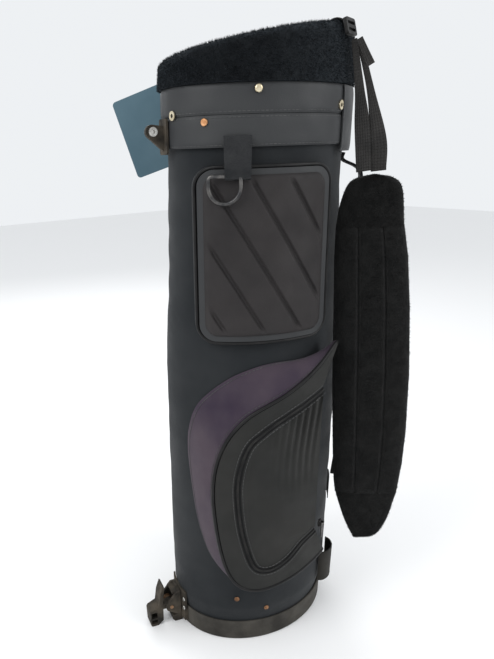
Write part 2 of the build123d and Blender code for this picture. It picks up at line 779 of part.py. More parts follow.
# the foot: a hub on the pin, an upright blade and a two-pocket shoe that stands on the floor
hub_radius = 7.0
blade_in = hinge_out + 13.0
blade_out = blade_in + 7.0
foot_out = blade_out + 15.0
blade_top = 72.0
shoe_top = 30.0
shoe_wall = 3.0
hub_low = -ear_inside + 0.4
hub_high = 2.0
with BuildPart() as kick_foot:
    with BuildSketch(cross_plane(stand_angle, cup_long, cup_short, along=hub_low)):
        with Locations((hinge_out, hinge_height)):
            Circle(hub_radius)
        with Locations(((hinge_out + blade_in) / 2 + 1, hinge_height)):
            Rectangle(blade_in - hinge_out + 2, 8)
        with Locations((hinge_out, hinge_height)):
            Circle(hinge_pin_radius + pin_fit, mode=Mode.SUBTRACT)
    extrude(amount=hub_high - hub_low)
    with BuildSketch(cross_plane(stand_angle, cup_long, cup_short, along=-foot_width / 2)):
        with BuildLine():
            Polyline((blade_in, 8), (blade_in, 44), (blade_in - 3, blade_top), (blade_in - 1, blade_top + 1))
            Polyline(
                (blade_in - 1, blade_top + 1), (blade_out - 3, 58), (blade_out, 36),
                (foot_out - 2, shoe_top)
            )
            Polyline(
                (foot_out - 2, shoe_top), (foot_out, shoe_top - 4), (foot_out - 1, 2),
                (foot_out - 3, 0)
            )
            Polyline((foot_out - 3, 0), (blade_out + 2, 0), (blade_in, 8))
        make_face()
    extrude(amount=foot_width)
    for low, high in ((4.5, 12.0), (15.0, 26.0)):
        with BuildSketch(cross_plane(stand_angle, cup_long, cup_short, along=-foot_width / 2 - 1)):
            with Locations(((blade_out + foot_out) / 2 + 0.5, (low + high) / 2)):
                Rectangle(foot_out - blade_out - 2 * shoe_wall + 1, high - low)
        extrude(amount=foot_width - shoe_wall + 1, mode=Mode.SUBTRACT)
finish(kick_foot, "kick_foot")

spring_wire = 1.6
spring_turns = 4
spring_radius = hinge_pin_radius + spring_wire / 2 + 1.2
spring_start = hub_high + 0.3 + spring_wire / 2
spring_length = ear_inside - 0.4 - spring_wire / 2 - spring_start
spring_plane = cross_plane(stand_angle, cup_long, cup_short, along=spring_start)
coil_centre = spring_plane.from_local_coords(Vector(hinge_out, hinge_height, 0))
with BuildPart() as stand_spring:
    with BuildLine() as coil:
        Helix(spring_length / spring_turns, spring_length, spring_radius, coil_centre, spring_plane.z_dir)
    with BuildSketch(Plane(coil.line @ 0, z_dir=coil.line % 0)):
        Circle(spring_wire / 2)
    sweep(path=coil.line, is_frenet=True)
finish(stand_spring, "stand_spring")

# ---- grab handle under the spine cover, strap side ----
handle_angle = -30.0
handle_width = 25.0
handle_thick = 4.0
handle_path = [(-5.1, 704), (-5.1, 695), (17, 682), (20, 655), (20, 610), (0.4, 580), (-0.2, 562)]
with BuildPart() as grab_handle:
    with BuildSketch(cross_plane(handle_angle, along=-handle_width / 2)):
        with BuildLine():
            FilletPolyline(*handle_path, radius=6)
        trace(line_width=handle_thick)
    extrude(amount=handle_width)
    add(body_solid, mode=Mode.SUBTRACT)
finish(grab_handle, "grab_handle")

# ---- bag tag on a wire hook, behind the stand side ----
tag_turn = 18.0
tag_depth = -72.0
tag_corner = (-203.0, 777.0)
tag_thick = 1.0
tag_inset = 10.0
tag_hole = 4.5
hook_wire = 2.4
hook_angle = 106.0
tag_plane = strap_plane(tag_depth)
tag_x = Vector(cos(radians(tag_turn)), sin(radians(tag_turn)))
tag_y = Vector(sin(radians(tag_turn)), -cos(radians(tag_turn)))
corner_point = Vector(*tag_corner)
hole_point = corner_point + tag_x * (tag_width - tag_inset) + tag_y * tag_inset
tag_middle = corner_point + tag_x * tag_width / 2 + tag_y * tag_length / 2
with BuildPart() as bag_tag:
    with BuildSketch(tag_plane):
        with Locations((tag_middle.X, tag_middle.Y)):
            RectangleRounded(tag_width, tag_length, 5, rotation=tag_turn)
        with Locations((hole_point.X, hole_point.Y)):
            Circle(tag_hole, mode=Mode.SUBTRACT)
    extrude(amount=tag_thick / 2, both=True)
finish(bag_tag, "bag_tag")

hook_seat = hole_point.Y + tag_hole - hook_wire / 2 - 1.2
hook_out = 37.7
hook_path = [(2.6, 756), (2.6, 768), (14, 774), (27, hook_seat + 2), (hook_out, hook_seat + 0.5)]
hook_path += [(hook_out + 7, hook_seat - 2), (hook_out + 7, hook_seat - 9)]
with BuildPart() as tag_hook:
    with BuildSketch(wall_plane(hook_angle, 762, out=gap)):
        RectangleRounded(14, 20, 3)
    extrude(amount=2.2)
    with BuildLine(cross_plane(hook_angle)) as hook_line:
        FilletPolyline(*hook_path, radius=3)
    with BuildSketch(Plane(hook_line.line @ 0, z_dir=hook_line.line % 0)):
        Circle(hook_wire / 2)
    sweep(path=hook_line.line)
finish(tag_hook, "tag_hook")

# ---- shoulder strap, hanging between the rim and the lower side ----
pad_depth = 40.0
strap_face = strap_plane(pad_depth - pad_thick / 2)
top_cap_outline = [
    (103, 619), (105, 640), (112, 664), (122, 674), (145, 679), (168, 674), (180, 660),
    (186, 619)
]
pad_side_left = [(102.5, 618), (103, 580), (107, 500), (112, 400), (119, 300), (124, 246), (127, 228.5)]
pad_side_right = [(216, 228.5), (219, 279), (219, 330), (214, 420), (205, 510), (195, 580), (186.5, 618)]
bottom_cap_outline = [
    (127.5, 228), (140, 190), (151, 164), (158, 152), (176, 151), (194, 158), (207, 185),
    (215.5, 228)
]


def strap_block(outline_left, outline_right, plane, thick, edge):
    """A flat padded block: two smooth sides joined by straight ends, with eased rims."""
    with BuildPart() as block:
        with BuildSketch(plane):
            with BuildLine():
                left = Spline(*outline_left)
                right = Spline(*outline_right)
                Line(left @ 1, right @ 0)
                Line(right @ 1, left @ 0)
            make_face()
        extrude(amount=thick)
        rims = block.edges().filter_by(lambda e: e.length > 80 and e.geom_type == GeomType.BSPLINE)
        fillet(rims, radius=edge)
    return block


shoulder_pad = strap_block(pad_side_left, pad_side_right, strap_face, pad_thick, 6.0)
finish(shoulder_pad, "shoulder_pad")

cap_inset = 3.0
with BuildPart() as pad_top_cap:
    with BuildSketch(strap_plane(pad_depth - pad_thick / 2 + cap_inset)):
        with BuildLine():
            cap_curve = Spline(*top_cap_outline)
            Line(cap_curve @ 1, cap_curve @ 0)
        make_face()
    extrude(amount=pad_thick - 2 * cap_inset)
finish(pad_top_cap, "pad_top_cap")

with BuildPart() as pad_bottom_cap:
    with BuildSketch(strap_plane(pad_depth - pad_thick / 2 + cap_inset)):
        with BuildLine():
            cap_curve = Spline(*bottom_cap_outline)
            Line(cap_curve @ 1, cap_curve @ 0)
        make_face()
    extrude(amount=pad_thick - 2 * cap_inset)
finish(pad_bottom_cap, "pad_bottom_cap")

# ---- upper end of the strap: anchor over the rim, buckle, two hanging webbings and a loose end ----
hang_angle = -66.7
webbing_width = 20.0
anchor_width = 20.0
anchor_drop = 42.0
buckle_thick = 4.0
buckle_width = 27.0
buckle_length = 18.0
buckle_slot = (20.0, 3.4)
buckle_tilt = 15.0
fur_middle_out = -cuff_long + (collar_low[0] + collar_bore[0]) / 2 - 2.3
hang_point, hang_normal = oval_point(hang_angle, cuff_long, cuff_short)
hang_rim = rim_middle + rim_slope * (hang_point + hang_normal * fur_middle_out).dot(strap_along)
bend = collar_round + webbing_thick / 2 + 1.4
bend_height = hang_rim - collar_round


def around_rim(turn, away):
    """A point of the hanging plane, round the middle of the fur's top edge."""
    return (fur_middle_out + away * cos(radians(turn)), bend_height + away * sin(radians(turn)))


with BuildPart() as strap_anchor:
    with BuildSketch(cross_plane(hang_angle, along=-anchor_width / 2)):
        with BuildLine():
            over = ThreePointArc(around_rim(buckle_tilt, bend), around_rim(95, bend), around_rim(180, bend))
            Line(over @ 1, (fur_middle_out - bend, bend_height - anchor_drop))
        trace(line_width=webbing_thick)
    extrude(amount=anchor_width)
finish(strap_anchor, "strap_anchor")

buckle_away = bend + webbing_thick / 2 + gap
buckle_place = around_rim(buckle_tilt, buckle_away)
buckle_centre = hang_point + hang_normal * buckle_place[0] + Vector(0, 0, buckle_place[1])
buckle_normal = hang_normal * cos(radians(buckle_tilt)) + Vector(0, 0, sin(radians(buckle_tilt)))
buckle_across = Vector(-hang_normal.Y, hang_normal.X, 0)
with BuildPart() as strap_buckle:
    with BuildSketch(Plane(buckle_centre, x_dir=buckle_across, z_dir=buckle_normal)):
        RectangleRounded(buckle_width, buckle_length, 3)
        with Locations((0, -buckle_length * 0.2), (0, buckle_length * 0.2)):
            Rectangle(*buckle_slot, mode=Mode.SUBTRACT)
    extrude(amount=buckle_thick)
finish(strap_buckle, "strap_buckle")

webbing_face = strap_plane(pad_depth + 1.0)
webbing_top = buckle_place[1] - buckle_length / 2 - 1.5
webbing_foot = 681.5
left_webbing = ([(122, webbing_foot), (116, 734), (113.5, 772), (106, webbing_top)],)
left_webbing += ([(112.5, webbing_top), (125, 772), (134.5, 734), (141, webbing_foot)],)
right_webbing = ([(140, webbing_foot), (136, 718), (128, 771), (112, webbing_top)],)
right_webbing += ([(118, webbing_top), (137, 771), (156, 718), (159, webbing_foot)],)
for name, sides, behind in (("webbing_left", left_webbing, 0.0), ("webbing_right", right_webbing, 3.5)):
    with BuildPart() as webbing:
        with BuildSketch(webbing_face.offset(-behind)):
            with BuildLine():
                first = Spline(*sides[0])
                second = Spline(*sides[1])
                Line(first @ 1, second @ 0)
                Line(second @ 1, first @ 0)
            make_face()
        extrude(amount=webbing_thick)
    finish(webbing, name)

with BuildPart() as webbing_tail:
    with BuildSketch(webbing_face.offset(3.5)):
        with BuildLine():
            Polyline((111, webbing_top), (119, webbing_top - 1), (131, 797), (127, 794), close=True)
        make_face()
    extrude(amount=webbing_thick)
finish(webbing_tail, "webbing_tail")

# ---- lower end of the strap: patch on the body, webbing up to the pad's back, slider ----
low_anchor_angle = -38.5
low_anchor_height = 205.0
with BuildPart() as lower_anchor:
    with BuildSketch(wall_plane(low_anchor_angle, low_anchor_height, belly_long, belly_short, gap)):
        RectangleRounded(26, 40, 2)
    extrude(amount=webbing_thick)
finish(lower_anchor, "lower_anchor")

lower_low = low_anchor_height + 23.0
lower_high = 440.0
lower_foot_width = 8.0
lower_start = strap_along * 129.5 + strap_back * 12.0
lower_end = strap_along * 146.0 - strap_back * (pad_depth - pad_thick / 2 - webbing_thick - 0.4)
start_plane = Plane(lower_start + Vector(0, 0, lower_low), x_dir=strap_along, z_dir=(0, 0, 1))
end_plane = Plane(lower_end + Vector(0, 0, lower_high), x_dir=strap_along, z_dir=(0, 0, 1))
with BuildPart() as lower_webbing:
    with BuildSketch(start_plane):
        Rectangle(lower_foot_width, webbing_thick)
    with BuildSketch(end_plane):
        Rectangle(webbing_width, webbing_thick)
    loft(ruled=True)
finish(lower_webbing, "lower_webbing")
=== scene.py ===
# %% [markdown]
# # A worn golf carry bag
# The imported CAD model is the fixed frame: metal and plastic parts are shown as they are, with better
# finishes. The outer soft parts are rebuilt as surfaces that numpy computes. The
# dividers, the ball pocket's backing and the tag keep their CAD shape and get a finish.

# %% Load the frame
import bpy
import numpy as np
from mathutils import Matrix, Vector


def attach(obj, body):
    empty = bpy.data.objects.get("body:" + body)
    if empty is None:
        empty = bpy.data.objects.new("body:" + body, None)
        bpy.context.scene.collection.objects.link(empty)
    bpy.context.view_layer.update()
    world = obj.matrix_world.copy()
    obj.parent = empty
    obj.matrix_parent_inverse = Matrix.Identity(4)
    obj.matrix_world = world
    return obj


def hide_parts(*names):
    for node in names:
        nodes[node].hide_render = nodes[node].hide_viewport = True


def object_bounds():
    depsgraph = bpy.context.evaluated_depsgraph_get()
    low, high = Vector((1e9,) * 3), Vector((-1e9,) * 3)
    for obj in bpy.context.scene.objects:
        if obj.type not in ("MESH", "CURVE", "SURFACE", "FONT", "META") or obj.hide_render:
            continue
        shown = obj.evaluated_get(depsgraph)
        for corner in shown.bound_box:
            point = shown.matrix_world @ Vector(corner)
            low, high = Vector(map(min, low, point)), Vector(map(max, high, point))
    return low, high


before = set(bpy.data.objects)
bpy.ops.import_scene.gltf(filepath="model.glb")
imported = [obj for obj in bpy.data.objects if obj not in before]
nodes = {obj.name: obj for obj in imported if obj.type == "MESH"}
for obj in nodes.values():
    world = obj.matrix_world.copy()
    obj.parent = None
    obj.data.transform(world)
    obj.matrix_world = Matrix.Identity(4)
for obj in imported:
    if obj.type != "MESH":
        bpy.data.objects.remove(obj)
cad_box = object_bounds()
print("CAD box", cad_box)

# %% [markdown]
# ## Camera
# The view is a person's view from about a metre away, slightly from above, with the bag left of the
# lens axis. A small lens shift keeps the framing. The camera comes first, so that each piece can be
# judged in its final view.

# %% Camera
VIEW_TURN = np.radians(-42.0)
CAMERA_AWAY, CAMERA_HEIGHT = 0.8371, 0.7130
CAMERA_PITCH, CAMERA_ROLL, CAMERA_YAW = np.radians([21.83, -1.88, -7.67])
LENS_MM, SENSOR_MM = 32.43, 36.0
LENS_SHIFT = (0.105, 0.089)
VIEW_RIGHT = np.array([np.cos(VIEW_TURN), np.sin(VIEW_TURN), 0.0])
VIEW_AWAY = np.array([-VIEW_RIGHT[1], VIEW_RIGHT[0], 0.0])
UP = np.array([0.0, 0.0, 1.0])


def in_view(right, away, height):
    """A place given by its distance to the right, away from the viewer, and up."""
    right, away, height = np.broadcast_arrays(*(np.asarray(v, float) for v in (right, away, height)))
    return right[..., None] * VIEW_RIGHT + away[..., None] * VIEW_AWAY + height[..., None] * UP


def aim_camera():
    """Camera axes: turn by yaw and pitch, then roll about the line of sight."""
    level = np.cos(CAMERA_YAW) * VIEW_AWAY + np.sin(CAMERA_YAW) * VIEW_RIGHT
    forward = level * np.cos(CAMERA_PITCH) - UP * np.sin(CAMERA_PITCH)
    flat = np.cos(CAMERA_YAW) * VIEW_RIGHT - np.sin(CAMERA_YAW) * VIEW_AWAY
    above = np.cross(flat, forward)
    right = np.cos(CAMERA_ROLL) * flat + np.sin(CAMERA_ROLL) * above
    top = np.cos(CAMERA_ROLL) * above - np.sin(CAMERA_ROLL) * flat
    place = -CAMERA_AWAY * VIEW_AWAY + CAMERA_HEIGHT * UP
    columns = np.column_stack([right, top, -forward, place])
    return Matrix([*columns.tolist(), [0, 0, 0, 1]])


lens = bpy.data.cameras.new("camera")
lens.lens, lens.sensor_width = LENS_MM, SENSOR_MM
lens.shift_x, lens.shift_y = LENS_SHIFT
camera = bpy.data.objects.new("camera", lens)
camera.matrix_world = aim_camera()
bpy.context.scene.collection.objects.link(camera)
bpy.context.scene.camera = camera
bpy.context.scene.view_settings.view_transform = "Standard"
print("camera at", camera.matrix_world.translation)

# %% [markdown]
# ## Studio
# A dark object needs a bright, even room: a pale floor, a pale world, and wide soft lamps whose
# reflections draw the edges of the vinyl and the webbing.

# %% Floor, world and lamps
FLOOR_SIZE = 12.0


def soft_lamp(name, place, target, size, power):
    """A square area lamp that looks at target."""
    data = bpy.data.lights.new(name, "AREA")
    data.size, data.energy = size, power
    lamp = bpy.data.objects.new(name, data)
    ahead = np.subtract(target, place)
    ahead = ahead / np.linalg.norm(ahead)
    side = np.cross(ahead, UP)
    side = side / np.linalg.norm(side)
    columns = np.column_stack([side, np.cross(side, ahead), -ahead, place])
    lamp.matrix_world = Matrix([*columns.tolist(), [0, 0, 0, 1]])
    bpy.context.scene.collection.objects.link(lamp)
    return lamp


def pale_room():
    """A wide floor plane and a near-white world."""
    half = FLOOR_SIZE / 2
    mesh = bpy.data.meshes.new("floor")
    corners = [(-half, -half, 0), (half, -half, 0), (half, half, 0), (-half, half, 0)]
    mesh.from_pydata(corners, [], [(0, 1, 2, 3)])
    floor = bpy.data.objects.new("floor", mesh)
    bpy.context.scene.collection.objects.link(floor)
    paint = bpy.data.materials.new("floor_paint")
    paint.use_nodes = True
    shader = paint.node_tree.nodes["Principled BSDF"]
    shader.inputs["Base Color"].default_value = (0.86, 0.86, 0.86, 1)
    shader.inputs["Roughness"].default_value = 0.8
    mesh.materials.append(paint)
    world = bpy.data.worlds.new("room")
    world.use_nodes = True
    world.node_tree.nodes["Background"].inputs["Color"].default_value = (0.95, 0.975, 1.0, 1)
    world.node_tree.nodes["Background"].inputs["Strength"].default_value = 0.9
    bpy.context.scene.world = world


pale_room()
BAG_MIDDLE = (0, 0, 0.42)
soft_lamp("key_lamp", in_view(-1.6, -1.5, 1.9), BAG_MIDDLE, 1.4, 34)
soft_lamp("side_lamp", in_view(1.9, -0.6, 1.3), BAG_MIDDLE, 1.2, 18)
soft_lamp("back_lamp", in_view(-0.8, 1.9, 1.7), BAG_MIDDLE, 1.2, 16)

# %% [markdown]
# ## Finishes
# Each finish mixes two colours by cloudy noise, roughens by finer noise, and gets its relief from a
# weave or a grain. A weave follows the piece's own UV map, which is in metres, so threads keep their
# size and run with the cloth, and it paints shade into the gaps between the threads. Moulded and metal parts
# use Object coordinates.

# %% Finish helpers
def node(tree, kind, **values):
    """Adds a shader node; values that name an input set it, others set a property."""
    made = tree.nodes.new(kind)
    for key, value in values.items():
        if key in made.inputs:
            made.inputs[key].default_value = value
        else:
            setattr(made, key, value)
    return made


def clouds(tree, coords, scale, detail=4.0, low=0.35, high=0.65):
    """Noise stretched to the full range between low and high."""
    noise = node(tree, "ShaderNodeTexNoise", Scale=scale, Detail=detail)
    spread = node(tree, "ShaderNodeMapRange")
    spread.inputs["From Min"].default_value = low
    spread.inputs["From Max"].default_value = high
    tree.links.new(coords, noise.inputs["Vector"])
    tree.links.new(noise.outputs["Fac"], spread.inputs["Value"])
    return spread.outputs["Result"]


def blend_colour(tree, amount, first, second):
    """A colour mix; first and second are colours or sockets."""
    mix = node(tree, "ShaderNodeMix", data_type="RGBA")
    for socket, value in ((mix.inputs[6], first), (mix.inputs[7], second)):
        if isinstance(value, bpy.types.NodeSocket):
            tree.links.new(value, socket)
        else:
            socket.default_value = (*value, 1)
    tree.links.new(amount, mix.inputs[0])
    return mix.outputs[2]


def add_heights(tree, first, second, share):
    """first + share * second."""
    total = node(tree, "ShaderNodeMath", operation="MULTIPLY_ADD")
    tree.links.new(second, total.inputs[0])
    total.inputs[1].default_value = share
    tree.links.new(first, total.inputs[2])
    return total.outputs[0]


def threads(tree, coords, pitch, direction):
    """Ridges of a weave: bands across one direction of the coordinates, one every pitch metres."""
    wave = node(tree, "ShaderNodeTexWave", bands_direction=direction, wave_profile="SIN")
    wave.inputs["Scale"].default_value = 2 * np.pi / pitch / 20
    tree.links.new(coords, wave.inputs["Vector"])
    return wave.outputs["Fac"]


FINISHES = {}
CLOTH_SHADE = 0.42
CLOTH_GLOSS = 0.16


def finish(
    name, dark, light, rough, patch=9.0, grain=900.0, bump=0.25, depth=0.0006, weave=None,
    **shader_values
):
    """A procedural finish. weave is (pitch across, pitch along) in metres, read on the UV map; a weave also
    paints shade into the gaps between its threads.
    """
    if "Metallic" not in shader_values:
        dark, light = (tuple(CLOTH_SHADE * v for v in colour) for colour in (dark, light))
        shader_values.setdefault("Specular_IOR_Level", CLOTH_GLOSS)
    made = bpy.data.materials.new(name)
    made.use_nodes = True
    tree = made.node_tree
    shader = tree.nodes["Principled BSDF"]
    coords = node(tree, "ShaderNodeTexCoord")
    place = coords.outputs["Object"]
    colour = blend_colour(tree, clouds(tree, place, patch), dark, light)
    fine = clouds(tree, place, grain, 2.0, 0.3, 0.7)
    height = fine
    if weave:
        cloth_map = coords.outputs["UV"]
        height = add_heights(
            tree, threads(tree, cloth_map, weave[0], "X"),
            threads(tree, cloth_map, weave[1], "Y"), 1.0
        )
        # Painted shade: the hollows between the weave's threads are darkened towards 0.55 of the dark colour,
        # by up to 0.45.
        shade = tuple(0.55 * v for v in dark)
        thread_gap_shade = node(tree, "ShaderNodeMapRange")
        thread_gap_shade.inputs["From Max"].default_value = 1.3
        thread_gap_shade.inputs["To Min"].default_value = 0.45
        thread_gap_shade.inputs["To Max"].default_value = 0.0
        tree.links.new(height, thread_gap_shade.inputs["Value"])
        colour = blend_colour(tree, thread_gap_shade.outputs["Result"], colour, shade)
        height = add_heights(tree, height, fine, 0.6)
    tree.links.new(colour, shader.inputs["Base Color"])
    roughness = node(tree, "ShaderNodeMapRange")
    roughness.inputs["To Min"].default_value = rough[0]
    roughness.inputs["To Max"].default_value = rough[1]
    tree.links.new(clouds(tree, place, patch * 3), roughness.inputs["Value"])
    tree.links.new(roughness.outputs["Result"], shader.inputs["Roughness"])
    relief = node(tree, "ShaderNodeBump", Strength=bump, Distance=depth)
    tree.links.new(height, relief.inputs["Height"])
    tree.links.new(relief.outputs["Normal"], shader.inputs["Normal"])
    for key, value in shader_values.items():
        shader.inputs[key.replace("_", " ")].default_value = value
    FINISHES[name] = made
    return made


# %% [markdown]
# Worn cloth is nearly black, with patches a little lighter, and a faint sheen on the fur.

# %% Cloth and fur finishes
finish("body_cloth", (0.020, 0.025, 0.030), (0.040, 0.045, 0.050), (0.62, 0.8), 7, 1500, 0.35, 0.0004,
       (0.0011, 0.0011), Sheen_Weight=0.06, Sheen_Roughness=0.5)
finish("pocket_cloth", (0.034, 0.035, 0.033), (0.054, 0.053, 0.049), (0.6, 0.8), 10, 1500, 0.35, 0.0004,
       (0.0011, 0.0011), Sheen_Weight=0.06, Sheen_Roughness=0.5)
finish(
    "purple_cloth", (0.075, 0.052, 0.088), (0.150, 0.112, 0.142), (0.65, 0.85), 12, 1500, 0.35,
    0.0004, (0.0011, 0.0011), Sheen_Weight=0.06, Sheen_Roughness=0.5
)
finish("fur", (0.009, 0.011, 0.014), (0.020, 0.024, 0.028), (0.8, 0.95), 40, 1200, 0.8, 0.0012,
       Sheen_Weight=0.10, Sheen_Roughness=0.35, Sheen_Tint=(0.6, 0.75, 0.9, 1))
finish("pad_fur", (0.008, 0.0082, 0.008), (0.022, 0.022, 0.021), (0.8, 0.95), 60, 1200, 0.8, 0.0012,
       Sheen_Weight=0.08, Sheen_Roughness=0.4)
finish("cuff_vinyl", (0.050, 0.053, 0.058), (0.074, 0.077, 0.080), (0.42, 0.6), 8, 1100, 0.3, 0.0004,
       Specular_IOR_Level=0.25)
finish("piping", (0.016, 0.016, 0.017), (0.032, 0.031, 0.031), (0.3, 0.5), 30, 900, 0.15, 0.0003)
finish(
    "sleeve_cloth", (0.036, 0.033, 0.028), (0.062, 0.056, 0.046), (0.65, 0.85), 14, 1500, 0.35,
    0.0004, (0.0011, 0.0011), Sheen_Weight=0.05
)
finish("webbing", (0.036, 0.035, 0.034), (0.066, 0.062, 0.058), (0.55, 0.75), 25, 1600, 0.7, 0.0008,
       (0.0035, 0.0022), Sheen_Weight=0.06)
finish(
    "dark_webbing", (0.012, 0.014, 0.017), (0.026, 0.028, 0.031), (0.55, 0.75), 25, 1600, 0.7,
    0.0008, (0.0035, 0.0022), Sheen_Weight=0.06
)
finish("hook_tape", (0.020, 0.023, 0.028), (0.040, 0.043, 0.048), (0.8, 0.95), 90, 2200, 0.9, 0.0012,
       Sheen_Weight=0.10)
finish("thread", (0.11, 0.115, 0.12), (0.2, 0.2, 0.2), (0.6, 0.8), 60, 3000, 0.3, 0.0002)
finish("pale_thread", (0.55, 0.53, 0.49), (0.75, 0.73, 0.68), (0.6, 0.8), 60, 3000, 0.3, 0.0002)
finish("zip_cloth", (0.008, 0.008, 0.009), (0.018, 0.018, 0.019), (0.6, 0.8), 40, 1500, 0.4, 0.0004)
finish("zip_teeth", (0.03, 0.03, 0.03), (0.07, 0.068, 0.064), (0.35, 0.5), 60, 900, 0.2, 0.0002)
print("cloth finishes", len(FINISHES))

# %% [markdown]
# Hard parts keep their CAD shape, so only the finish tells plastic, steel, brass and rust apart.

# %% Moulded and metal finishes
finish(
    "moulded_foam", (0.040, 0.036, 0.037), (0.062, 0.055, 0.055), (0.55, 0.75), 12, 1300, 0.45,
    0.0004, Specular_IOR_Level=0.2
)
finish("base_plastic", (0.060, 0.055, 0.048), (0.150, 0.138, 0.118), (0.55, 0.8), 22, 500, 0.4, 0.0006)
finish("stand_plastic", (0.040, 0.036, 0.031), (0.150, 0.125, 0.095), (0.6, 0.85), 55, 700, 0.4, 0.0005)
finish("black_plastic", (0.018, 0.018, 0.019), (0.045, 0.044, 0.042), (0.4, 0.6), 40, 900, 0.2, 0.0003)
finish("board", (0.03, 0.028, 0.025), (0.06, 0.055, 0.05), (0.7, 0.9), 30, 700, 0.4, 0.0005)
finish("stay_rod", (0.4, 0.37, 0.3), (0.55, 0.52, 0.44), (0.3, 0.5), 40, 900, 0.2, 0.0002)
finish(
    "bright_steel", (0.34, 0.33, 0.31), (0.66, 0.65, 0.62), (0.22, 0.45), 120, 1500, 0.15, 0.0002,
    Metallic=1.0
)
finish(
    "dark_steel", (0.05, 0.05, 0.052), (0.13, 0.125, 0.12), (0.3, 0.5), 120, 1500, 0.15, 0.0002,
    Metallic=1.0
)
finish(
    "rusty_steel", (0.12, 0.045, 0.016), (0.34, 0.21, 0.12), (0.6, 0.9), 160, 1200, 0.6, 0.0004,
    Metallic=0.35
)
finish(
    "brass_rivet", (0.55, 0.46, 0.30), (0.80, 0.72, 0.54), (0.25, 0.45), 200, 1500, 0.2, 0.0002,
    Metallic=1.0
)
finish(
    "copper_rivet", (0.36, 0.17, 0.075), (0.66, 0.36, 0.19), (0.3, 0.55), 200, 1500, 0.25, 0.0002,
    Metallic=1.0
)
finish(
    "rusty_rivet", (0.10, 0.045, 0.02), (0.34, 0.18, 0.09), (0.5, 0.8), 260, 1500, 0.5, 0.0003,
    Metallic=0.6
)
finish("tag_card", (0.155, 0.28, 0.355), (0.20, 0.34, 0.42), (0.35, 0.5), 14, 900, 0.1, 0.0002)
NODE_FINISH = {
    "base_cup": "base_plastic", "floor_board": "board", "collar_ring": "black_plastic",
    "divider_bars": "fur", "divider_long": "body_cloth", "divider_front": "body_cloth",
    "divider_back": "body_cloth", "stays": "stay_rod", "dome_rivets": "brass_rivet",
    "eyelet_rivets": "brass_rivet", "flat_rivets": "copper_rivet", "base_rivets": "rusty_rivet",
    "ball_pocket_panel": "cuff_vinyl", "zip_slider": "dark_steel", "zip_puller": "dark_steel",
    "d_ring": "dark_steel", "leg_lug": "stand_plastic", "lug_bolt": "bright_steel",
    "lug_nut": "bright_steel", "saddle_plate": "stand_plastic", "plate_rivets": "bright_steel",
    "stand_bracket": "stand_plastic", "stand_stop": "stand_plastic", "stand_pin": "rusty_steel",
    "kick_foot": "stand_plastic", "stand_spring": "rusty_steel", "strap_buckle": "black_plastic",
    "tag_hook": "bright_steel", "bag_tag": "tag_card",
}


def dress(piece, name):
    """Gives a piece one finish."""
    piece.data.materials.clear()
    piece.data.materials.append(FINISHES[name])


for part_name, finish_name in NODE_FINISH.items():
    dress(nodes[part_name], finish_name)
print("dressed", len(NODE_FINISH), "CAD nodes")

# %% [markdown]
# ## The bag's geometry as functions
# The bag is a stack of ovals. A point of its wall is an angle, a height and a distance outwards. The
# pockets are laid out flat, across and up, on a plane that faces them, and dropped onto the oval.

# %% Oval wall and pocket plane
LEVELS = np.array([6.3, 35, 62, 130, 430, 560, 690, 790]) / 1000
HALF_LONG = np.array([127.6, 127.6, 133, 135, 135, 127.5, 122.5, 122.5]) / 1000
HALF_SHORT = HALF_LONG - 0.026
CUFF = np.array([0.130, 0.104])
POCKET_TURN = np.radians(-120.0)
POCKET_OUT = np.array([np.cos(POCKET_TURN), np.sin(POCKET_TURN), 0.0])
POCKET_ACROSS = np.array([-POCKET_OUT[1], POCKET_OUT[0], 0.0])
FULL = 2 * np.pi


def oval(angle, half_long, half_short, out, height):
    """The point at an oval's parameter angle, moved outwards along its normal: (a cos t, b sin t) + out n."""
    angle, half_long, half_short, out, height = np.broadcast_arrays(
        angle, half_long, half_short, out, height
    )
    n = np.stack([half_short * np.cos(angle), half_long * np.sin(angle)], -1)
    n = n / np.linalg.norm(n, axis=-1, keepdims=True)
    x = half_long * np.cos(angle) + out * n[..., 0]
    y = half_short * np.sin(angle) + out * n[..., 1]
    return np.stack([x, y, height], -1)


def oval_normal(angle, half_long=CUFF[0], half_short=CUFF[1]):
    """The oval's outward normal at a parameter angle."""
    n = np.stack(
        [half_short * np.cos(angle), half_long * np.sin(angle), 0 * np.asarray(angle, float)], -1
    )
    return n / np.linalg.norm(n, axis=-1, keepdims=True)


def body_wall(angle, height, out=0.0):
    """A point of the cloth body: the oval at that height, interpolated between the levels."""
    return oval(
        angle, np.interp(height, LEVELS, HALF_LONG), np.interp(height, LEVELS, HALF_SHORT), out,
        height
    )


def on_pocket(across, height, out):
    """The pocket layout dropped onto the body grown by out: the ray from across meets the larger oval."""
    across, height, out = np.broadcast_arrays(*(np.asarray(v, float) for v in (across, height, out)))
    a = np.interp(height, LEVELS, HALF_LONG) + out
    b = np.interp(height, LEVELS, HALF_SHORT) + out
    n, t = POCKET_OUT, POCKET_ACROSS
    square = (n[0] / a) ** 2 + (n[1] / b) ** 2
    half = across * (n[0] * t[0] / a**2 + n[1] * t[1] / b**2)
    rest = across**2 * ((t[0] / a) ** 2 + (t[1] / b) ** 2) - 1
    depth = (-half + np.sqrt(np.maximum(half**2 - square * rest, 0))) / square
    return across[..., None] * t + depth[..., None] * n + height[..., None] * UP


def pocket_normal(across, height, out):
    """The outward normal of that grown oval at the same place."""
    p = on_pocket(across, height, out)
    a = np.interp(height, LEVELS, HALF_LONG) + out
    b = np.interp(height, LEVELS, HALF_SHORT) + out
    n = np.stack([p[..., 0] / a**2, p[..., 1] / b**2, 0 * p[..., 0]], -1)
    return n / np.linalg.norm(n, axis=-1, keepdims=True)


